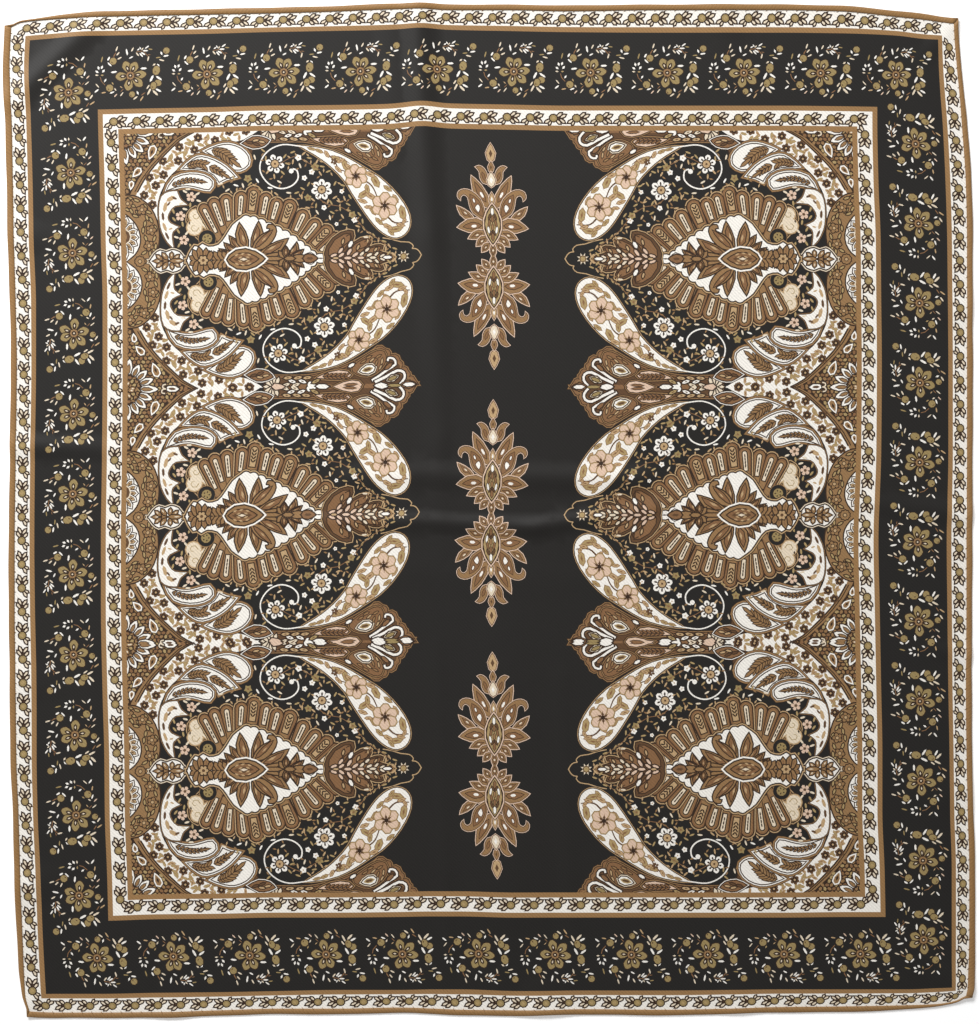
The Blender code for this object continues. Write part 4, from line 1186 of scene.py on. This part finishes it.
PALMETTE_PLACES = [(np.diag((sx * PALMETTE_SIZE[0], sy * PALMETTE_SIZE[1])),
                    np.array((CHART_MIDDLE[0] + shift, row + stray)))
                   for row, (shift, stray) in zip(ROWS, PALMETTE_SHIFTS) for sx in (1, -1)
                   for sy in (1, -1)]
plain_ground = [(bound, "stripe")] + [(oblong(*row[:4]), row[4]) for row in STRIPES]
for *sides, width, ink in FRAMES:
    plain_ground += [(bar, ink) for bar in frame_bars(*sides, width)]
ground_motifs = palmette.at(PALMETTE_PLACES) + bud.at(bud_places) + spray.at(spray_places)
plain_panel = [(window, "stripe"), (oblong(FIELD_LEFT, FIELD_TOP, WINDOW_RIGHT, FIELD_BOTTOM), "black")]
covers = [(oblong(WINDOW_LEFT, WINDOW_TOP, WINDOW_RIGHT, FIELD_TOP), "stripe"),
          (oblong(WINDOW_LEFT, FIELD_BOTTOM, WINDOW_RIGHT, WINDOW_BOTTOM), "stripe"),
          (oblong(WINDOW_LEFT, WINDOW_TOP, FIELD_LEFT, WINDOW_BOTTOM), "stripe")]
left_motifs, right_motifs = (unit.at(field_places(shifts)) for shifts in (LEFT_SHIFTS, RIGHT_SHIFTS))
print(f"{len(ground_motifs)} motif shapes on the ground, {len(left_motifs)} on each half of the field")

# %% [markdown]
# ## From print to mesh
# Each piece of cloth becomes one mesh. A constrained triangulation takes every outline as edges
# that have to be kept. Then each shape inks the triangles whose middles it covers, so that the last
# printed one gives a triangle its ink. Shapes that run over a piece's edge are trimmed first. Where
# the print is sparse, extra points are strewn so that the cloth can bend, closer together on the
# folds.

# %% Cut the print into triangles
CLOSEST = 0.02        # points nearer than this many steps are one point
MARGIN = 1.3          # steps inside a piece's edge where its shapes are trimmed
LOOSE_GRID, TIGHT_GRID = 9.0, 3.6
LONGEST_EDGE = 9.0    # a longer edge could not follow the cloth's bends
LEAST_LIFT = 0.12     # millimetres of lift from which the tight grid is strewn
LEAST_AREA = 0.05     # square steps; a smaller shape isn't printed


def trimmed(outline, left, top, right, bottom):
    """The part of an outline inside a rectangle, or nothing."""
    for axis, limit, keeps in ((0, left, 1), (0, right, -1), (1, top, 1), (1, bottom, -1)):
        depth = keeps * (outline[:, axis] - limit)
        if (depth >= 0).all():
            continue
        kept = []
        for k in range(len(outline)):
            if depth[k] >= 0:
                kept.append(outline[k])
            if (depth[k] >= 0) != (depth[k - 1] >= 0):
                crossing = outline[k - 1] + (outline[k] - outline[k - 1]) * depth[k - 1] / (depth[k - 1]
                        - depth[k])
                kept.insert(len(kept) - 1 if depth[k] >= 0 else len(kept), crossing)
        if len(kept) < 3:
            return None
        outline = np.array(kept)
    return outline


def strewn(outline, windows, print_points):
    """Extra points inside a piece, only where the print has none close by."""
    (left, top), (right, bottom) = outline.min(0), outline.max(0)
    strewn_points = []
    for pitch, least_lift in ((LOOSE_GRID, -1), (TIGHT_GRID, LEAST_LIFT)):
        columns, rows = int((right - left) / pitch) - 1, int((bottom - top) / pitch) - 1
        column, row = (grid.ravel() for grid in np.meshgrid(np.arange(1, columns), np.arange(1, rows)))
        x, y = left + pitch * (column + 0.5 + 0.25 * (row % 2)), top + pitch * (row + 0.5)
        taken = np.zeros((columns + 4, rows + 4), bool)
        taken[tuple(((print_points - (left, top)) / pitch).astype(int).T)] = True
        wanted = ~taken[column, row] & (lift((x - CHART_MIDDLE[0]) * STEP,
                                             (CHART_MIDDLE[1] - y) * STEP) > least_lift)
        for hole in windows:
            (hole_left, hole_top), (hole_right, hole_bottom) = hole.min(0) - 2, hole.max(0) + 2
            wanted &= (x < hole_left) | (x > hole_right) | (y < hole_top) | (y > hole_bottom)
        strewn_points.append(np.stack([x, y], 1)[wanted])
    return np.vstack(strewn_points)


def covered(outline, places):
    """Which of the places lie inside an outline, also where it crosses itself."""
    (from_x, from_y), (to_x, to_y) = outline.T, np.roll(outline, -1, 0).T
    x, y = places[:, :1], places[:, 1:]
    side = (to_x - from_x) * (y - from_y) - (x - from_x) * (to_y - from_y)
    upwards, downwards = (from_y <= y) & (to_y > y) & (side > 0), (from_y > y) & (to_y <= y) & (side < 0)
    return upwards.sum(1) != downwards.sum(1)


def cut_out(plain, motifs, covers, windows):
    """Corners and triangles of a piece of cloth, and the ink of each triangle."""
    outline = plain[0][0]
    (left, top), (right, bottom) = outline.min(0) + MARGIN, outline.max(0) - MARGIN
    inside_edge = [(trimmed(ring, left, top, right, bottom), ink) for ring, ink in motifs]
    shapes = plain + [(ring, ink) for ring, ink in inside_edge
                      if ring is not None and abs(signed_area(ring)) > LEAST_AREA] + covers
    shapes += [(hole, None) for hole in windows]
    rings = [spaced(ring) if np.abs(ring - np.roll(ring, 1, 0)).max() > LONGEST_EDGE else ring for ring,
             _ in shapes]
    ends = np.cumsum([len(ring) for ring in rings])
    corners = np.vstack(rings)
    following = np.arange(1, len(corners) + 1)
    following[ends - 1] = np.concatenate([[0], ends[:-1]])
    edges = np.stack([np.arange(len(corners)), following], 1).tolist()
    corners = np.vstack([corners, strewn(outline, windows, corners)])
    found, _, triangles, _, _, _ = delaunay_2d_cdt(
        [Vector(corner) for corner in corners.tolist()], edges, [], 0, CLOSEST, False)
    found, triangles = np.array([tuple(corner) for corner in found]), np.array(triangles)
    middles = found[triangles].mean(1)
    order = middles[:, 0].argsort()
    from_left = middles[order, 0]
    last_printed = np.full(len(triangles), -1)
    for k, (ring, _) in enumerate(shapes):
        near = order[slice(*np.searchsorted(from_left, (ring[:, 0].min(), ring[:, 0].max())))]
        near = near[(middles[near, 1] > ring[:, 1].min()) & (middles[near, 1] < ring[:, 1].max())]
        last_printed[near[covered(ring, middles[near])]] = k
    keep = np.nonzero((last_printed >= 0) & (last_printed < len(shapes) - len(windows)))[0]
    used, triangles = np.unique(triangles[keep], return_inverse=True)
    return found[used], triangles.reshape(-1, 3), [shapes[k][1] for k in last_printed[keep]]

# %% [markdown]
# ## The cloth's shell
# Real silk is about 0.15 mm thick. Here each piece is a closed thin shell: the printed face, a
# plainer reverse on which only the stripes show through, and a rim between them. A triangle keeps
# its ink as a colour attribute, so no image is needed. The mesh's triangles are of very uneven
# sizes, so the normals are worked out from the folds' own slopes and not from the faces. Two maps
# go with it: one in metres of flat cloth, for the weave, and one for baking.

# %% Lay the cloth
FACE_ABOVE, REVERSE_ABOVE = 0.8, 0.1     # millimetres over the solid's underside
SLOPE_REACH = 0.6                        # millimetres to either side at which a slope is read
REVERSE_FADE, REVERSE_SILK = 0.3, (196, 186, 170)
REVERSE_STRIP = 0.91                     # the baking map's part for the printed face


def seen_to_linear(colour):
    share = np.array(colour, float) / 255
    return np.where(share <= 0.04045, share / 12.92, ((share + 0.055) / 1.055) ** 2.4)


def rim_edges(triangles):
    """Directed edges that belong to one triangle only."""
    edges = np.vstack([triangles[:, (0, 1)], triangles[:, (1, 2)], triangles[:, (2, 0)]])
    _, first, count = np.unique(np.sort(edges, 1), axis=0, return_index=True, return_counts=True)
    return edges[first[count == 1]]


def slopes(u, v):
    across_slope = (lift(u + SLOPE_REACH, v) - lift(u - SLOPE_REACH, v)) / (2 * SLOPE_REACH)
    up_slope = (lift(u, v + SLOPE_REACH) - lift(u, v - SLOPE_REACH)) / (2 * SLOPE_REACH)
    return np.stack([-across_slope, -up_slope, 0 * u + 1], 1)


def lay_cloth(name, plain, motifs, covers=(), windows=()):
    """One piece of cloth as a closed shell, printed on its upper face."""
    face, face_triangles, face_inks = cut_out(plain, motifs, list(covers), windows)
    back, back_triangles, back_inks = cut_out(plain, [], list(covers), windows)
    rim = rim_edges(face_triangles)
    back_ends = np.unique(rim_edges(back_triangles))
    partner = {tuple(np.round(back[k], 1)): k for k in back_ends}
    under = np.array([[partner[tuple(np.round(face[k], 1))] for k in edge] for edge in rim]) + len(face)
    rim_faces = np.vstack([np.stack([rim[:, 0], rim[:, 1], under[:, 1]], 1),
                           np.stack([rim[:, 0], under[:, 1], under[:, 0]], 1)])
    triangles = np.vstack([face_triangles[:, ::-1], back_triangles + len(face), rim_faces])
    flat = np.vstack([face, back])
    u, v = (flat[:, 0] - CHART_MIDDLE[0]) * STEP, (CHART_MIDDLE[1] - flat[:, 1]) * STEP
    on_face = np.arange(len(flat)) < len(face)
    mesh = bpy.data.meshes.new(name)
    mesh.from_pydata(lay(u, v, np.where(on_face, FACE_ABOVE, REVERSE_ABOVE)), [], triangles)
    seen = {ink: seen_to_linear(colour) for ink, colour in INKS.items()}
    faded = {ink: seen_to_linear((1 - REVERSE_FADE) * np.array(colour) + REVERSE_FADE
                                 * np.array(REVERSE_SILK))
             for ink, colour in INKS.items()}
    colours = np.array([seen[ink] for ink in face_inks] + [faded[ink] for ink in back_inks]
                       + [seen[plain[0][1]]] * len(rim_faces))
    inks = mesh.color_attributes.new("ink", "FLOAT_COLOR", "CORNER")
    inks.data.foreach_set("color", np.repeat(np.hstack([colours, np.ones((len(colours), 1))]), 3,
                                             0).ravel())
    corner_verts = triangles.ravel()
    weave = np.stack([u, v], 1)[corner_verts] * MM
    mesh.uv_layers.new(name="cloth").data.foreach_set("uv", weave.ravel())
    share = (flat - flat.min(0)) / np.ptp(flat, axis=0)
    share[:, 1] = 1 - share[:, 1]
    share = np.where(on_face[:, None], share * (1, REVERSE_STRIP - 0.01),
                     share * (1, 0.99 - REVERSE_STRIP) + (0, REVERSE_STRIP))
    mesh.uv_layers.new(name="OFBake").data.foreach_set("uv", share[corner_verts].ravel())
    normals = slopes(u, v) * np.where(on_face, 1, -1)[:, None]
    normals /= np.linalg.norm(normals, axis=1, keepdims=True)
    mesh.polygons.foreach_set("use_smooth", np.ones(len(mesh.polygons), bool))
    mesh.normals_split_custom_set_from_vertices(normals)
    piece = bpy.data.objects.new(name, mesh)
    bpy.context.scene.collection.objects.link(piece)
    print(f"{name}: {len(triangles)} triangles, rim of {len(rim)} edges")
    return piece


ground = lay_cloth("silk_ground", plain_ground, ground_motifs, windows=[window, mirrored(window)])
left_panel = lay_cloth("silk_field_left", plain_panel, left_motifs, covers)
right_panel = lay_cloth("silk_field_right", *[[(mirrored(outline), ink) for outline, ink in shapes]
                                              for shapes in (plain_panel, right_motifs, covers)])

# %% [markdown]
# ## Rolled hems
# The hem is the same cloth, rolled towards the face between finger and thumb and caught down with
# tiny slip stitches. Each of the four is a tube that starts just inside the cloth's edge. Its
# width follows the hand that rolled it, and it is drawn in a little at each stitch.

# %% Roll the hems
HEM_WIDTHS = {
    "top": {-428: 1.0, -405: 1.1, -392: 2.0, -375: 3.2, -350: 4.0, -300: 4.4, 428: 4.6},
    "bottom": {-428: 4.4, 330: 4.3, 385: 2.0, 400: 1.2, 428: 1.2},
    "left": {-449: 2.4, -440: 1.6, -425: 2.4, -400: 4.2, -350: 4.6, 250: 4.8, 340: 5.4, 449: 5.4},
    "right": {-449: 5.4, -430: 5.6, -390: 5.2, -350: 4.6, 350: 4.6, 380: 3.4, 449: 3.4},
}
HEM_SIDES = 12
RING_SPACING = 3.0
INSIDE_LINE = 0.7     # millimetres by which the roll covers the cloth's edge
STITCH_PITCH = 9.0
SEAM_GAP = 0.3
STITCHED_WIDTH = 3    # a narrower roll shows no stitches


def slip_stitch(line, at, upright, outwards):
    """Corners of one slanting stitch from the cloth up onto the roll."""
    corners = []
    for reach, slip, high in ((-1.7, -0.7, 0.95), (0.1, 0.7, 2.15)):
        for thick, tall in ((-0.2, -0.2), (0.2, -0.2), (0.2, 0.2), (-0.2, 0.2)):
            here = at + slip + thick
            corner = lay(*((line, here) if upright else (here, line)), high + tall)
            corner[0 if upright else 1] += outwards * reach * MM
            corners.append(corner)
    return corners


def roll_hem(side, upright, line, neighbours):
    """A roll of cloth along the edge at that line, with its ends mitred to its neighbours."""
    half = HEM_LINE_V if upright else HEM_LINE_U
    outwards = math.copysign(1, line)
    cells = round(2 * half / RING_SPACING)
    place = np.linspace(-half, half, cells + 1)
    width = along(HEM_WIDTHS[side], place)
    width = width * (1 + 0.035 * np.sin(place / 23 + line) + 0.03 * np.sin(place / 9.7))
    drawn_in = 1 - 0.12 * np.exp(-((place % STITCH_PITCH - STITCH_PITCH / 2) / 1.6) ** 2)
    angle = 2 * math.pi * (np.arange(HEM_SIDES) + 0.5) / HEM_SIDES
    out = (1 + np.cos(angle)) / 2
    above = (1 + np.sin(angle)) / 2 * HEM_HEIGHT
    mitre_low, mitre_high = (float(along(HEM_WIDTHS[n], line)) for n in neighbours)
    verts, weave = [], []
    for k, at in enumerate(place):
        reach = -INSIDE_LINE + out * (width[k] + INSIDE_LINE)
        high = above * (drawn_in[k] if width[k] > STITCHED_WIDTH else 1)
        here = (line + 0 * out, at + 0 * out) if upright else (at + 0 * out, line + 0 * out)
        ring = lay(*here, high)
        ring[:, 0 if upright else 1] += outwards * reach * MM
        end = -mitre_low if k == 0 else mitre_high if k == cells else 0
        ring[:, 1 if upright else 0] += (out * end - math.copysign(SEAM_GAP / 2, end) * (end != 0)) * MM
        verts += list(ring)
        weave += [(at, float(s)) for s in range(HEM_SIDES)]
    faces = [(k + s, k + (s + 1) % HEM_SIDES, k + HEM_SIDES + (s + 1) % HEM_SIDES, k + HEM_SIDES + s)
             for k in range(0, cells * HEM_SIDES, HEM_SIDES) for s in range(HEM_SIDES)]
    faces += [tuple(range(HEM_SIDES)), tuple(range(cells * HEM_SIDES, (cells + 1) * HEM_SIDES))]
    stitches = np.arange(math.ceil(-half / STITCH_PITCH) + 1, half / STITCH_PITCH - 1)
    for at in stitches * STITCH_PITCH + STITCH_PITCH / 2:
        if float(along(HEM_WIDTHS[side], at)) > STITCHED_WIDTH:
            k = len(verts)
            verts += slip_stitch(line, at, upright, outwards)
            weave += [(at, 0.0)] * 8
            faces += [(k, k + 1, k + 2, k + 3), (k + 4, k + 5, k + 6, k + 7)]
            faces += [(k + s, k + (s + 1) % 4, k + 4 + (s + 1) % 4, k + 4 + s) for s in range(4)]
    mesh = bpy.data.meshes.new("rolled_hem_" + side)
    mesh.from_pydata(verts, [], faces)
    shell = bmesh.new()
    shell.from_mesh(mesh)
    bmesh.ops.recalc_face_normals(shell, faces=shell.faces)
    shell.to_mesh(mesh)
    shell.free()
    corner_verts = [corner.vertex_index for corner in mesh.loops]
    mesh.uv_layers.new(name="cloth").data.foreach_set("uv", np.array(weave)[corner_verts].ravel() * MM)
    mesh.polygons.foreach_set("use_smooth", np.ones(len(mesh.polygons), bool))
    hem = bpy.data.objects.new("rolled_hem_" + side, mesh)
    bpy.context.scene.collection.objects.link(hem)
    return hem


hems = [
    roll_hem("top", False, HEM_LINE_V, ("left", "right")),
    roll_hem("bottom", False, -HEM_LINE_V, ("left", "right")),
    roll_hem("left", True, -HEM_LINE_U, ("bottom", "top")),
    roll_hem("right", True, HEM_LINE_U, ("bottom", "top")),
]
print("hems:", ", ".join(f"{hem.name} {len(hem.data.polygons)} faces" for hem in hems))

# %% [markdown]
# ## Silk
# Printed silk twill is matt in its ink and has a soft sheen at grazing light. The ink attribute
# gives the colour, and the weave is a fine diagonal in the bump. Sheen and specular level are set
# on the shader itself, because they are the same all over.

# %% Silk materials
class Shade:
    """A shader socket on which sums can be written."""

    def __init__(self, tree, socket):
        self.tree, self.socket = tree, socket

    def node(self, kind, sockets=(), **settings):
        made = self.tree.nodes.new(kind)
        for key, value in settings.items():
            setattr(made, key, value)
        for key, value in dict(sockets).items():
            if isinstance(value, Shade):
                self.tree.links.new(value.socket, made.inputs[key])
            else:
                made.inputs[key].default_value = value
        return made

    def sum_with(self, operation, first, second):
        return Shade(self.tree, self.node("ShaderNodeMath", {0: first, 1: second},
                                          operation=operation).outputs[0])

    def __add__(self, other):
        return self.sum_with("ADD", self, other)

    def __mul__(self, other):
        return self.sum_with("MULTIPLY", self, other)

    def __rsub__(self, other):
        return self.sum_with("SUBTRACT", other, self)

    __radd__, __rmul__ = __add__, __mul__


def silk(name, roughness, specular, sheen, colour=None):
    material = bpy.data.materials.new(name)
    material.use_nodes = True
    tree = material.node_tree
    shader = tree.nodes["Principled BSDF"]
    start = Shade(tree, None)
    weave = Shade(tree, start.node("ShaderNodeUVMap", uv_map="cloth").outputs[0])
    twill = Shade(tree, start.node("ShaderNodeTexWave",
                                   {"Vector": weave, "Scale": 190.0, "Distortion": 0.8},
                                   bands_direction="DIAGONAL").outputs["Fac"])
    slub = Shade(tree, start.node("ShaderNodeTexNoise",
                                  {"Vector": weave, "Scale": 900.0, "Detail": 2.0}).outputs[0])
    bump = start.node("ShaderNodeBump", {"Height": twill * 0.5 + slub * 0.5, "Strength": 0.25,
                                         "Distance": 0.0001})
    tree.links.new(bump.outputs[0], shader.inputs["Normal"])
    if colour is None:
        ink = Shade(tree, start.node("ShaderNodeAttribute", attribute_name="ink").outputs["Color"])
    else:
        ink = (*seen_to_linear(colour), 1)
    patch = Shade(tree, start.node("ShaderNodeTexNoise",
                                   {"Vector": weave, "Scale": 60.0, "Detail": 3.0}).outputs[0])
    grain = 0.64 + 0.07 * patch + 0.16 * twill + 0.5 * slub
    tint = start.node("ShaderNodeMix", {0: 1.0, 6: ink, 7: grain}, data_type="RGBA", blend_type="MULTIPLY")
    tree.links.new(tint.outputs[2], shader.inputs["Base Color"])
    for socket, value in (("Roughness", roughness), ("Specular IOR Level", specular),
                          ("Sheen Weight", sheen), ("Sheen Roughness", 0.5)):
        shader.inputs[socket].default_value = value
    return material


printed_silk = silk("printed_silk_twill", 0.5, 0.22, 0.04)
hem_silk = silk("hem_silk_twill", 0.5, 0.2, 0.05, (150, 114, 72))
for piece in (ground, left_panel, right_panel):
    piece.data.materials.append(printed_silk)
for hem in hems:
    hem.data.materials.append(hem_silk)
print("materials:", printed_silk.name, hem_silk.name)

# %% [markdown]
# ## What rides and what replaces
# Every piece rides on the one body and replaces its solid.

# %% Tell the frame
for piece in (ground, left_panel, right_panel):
    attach(piece, "root")
    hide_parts("silk_square")
for hem, side in zip(hems, ("top", "bottom", "left", "right")):
    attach(hem, "root")
    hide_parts("hem_" + side)

# %% [markdown]
# ## Floor, light and camera
# The scarf lies on a white sweep under a large soft light from above its top edge, with a pale
# room round it. The camera looks straight down from far enough that the edges show no slant.

# %% Floor, light and camera
FLOOR_GLOW, ROOM_GLOW = 0.3, 0.26
bpy.ops.object.select_all(action="DESELECT")
bpy.ops.mesh.primitive_plane_add(size=8, location=(0, 0, 0))
floor = bpy.context.object
floor.name = "floor"
floor_paint = bpy.data.materials.new("white_sweep")
floor_paint.use_nodes = True
floor_shader = floor_paint.node_tree.nodes["Principled BSDF"]
for socket, value in (("Base Color", (0.95, 0.95, 0.95, 1)), ("Roughness", 0.9),
                      ("Emission Color", (1, 1, 1, 1)), ("Emission Strength", FLOOR_GLOW)):
    floor_shader.inputs[socket].default_value = value
floor.data.materials.append(floor_paint)

LIGHT_AT, LIGHT_SIZE, LIGHT_POWER = (-1.05, 1.9, 2.05), (1.8, 1.0), 100.0
bpy.ops.object.light_add(type="AREA", location=LIGHT_AT)
light = bpy.context.object
light.name = "top_light"
light.data.shape = "RECTANGLE"
light.data.size, light.data.size_y = LIGHT_SIZE
light.data.energy = LIGHT_POWER
light.rotation_euler = Vector(LIGHT_AT).to_track_quat("Z", "Y").to_euler()
world = bpy.data.worlds.new("pale_room")
world.use_nodes = True
world.node_tree.nodes["Background"].inputs["Color"].default_value = (1, 1, 1, 1)
world.node_tree.nodes["Background"].inputs["Strength"].default_value = ROOM_GLOW
bpy.context.scene.world = world
bpy.context.scene.view_settings.view_transform = "Standard"

FRAME_HEIGHT = 0.91067       # metres of cloth that the picture's height shows
FRAME_MIDDLE = (0.00032, -0.00116)
SENSOR, LENS = 36.0, 100.0
bpy.ops.object.camera_add(location=(*FRAME_MIDDLE, FRAME_HEIGHT * LENS / SENSOR), rotation=(0, 0, 0))
camera = bpy.context.object
camera.name = "overhead_camera"
camera.data.lens = LENS
camera.data.sensor_fit = "VERTICAL"
camera.data.sensor_height = SENSOR
bpy.context.scene.camera = camera
print("camera", tuple(round(c, 4) for c in camera.location))
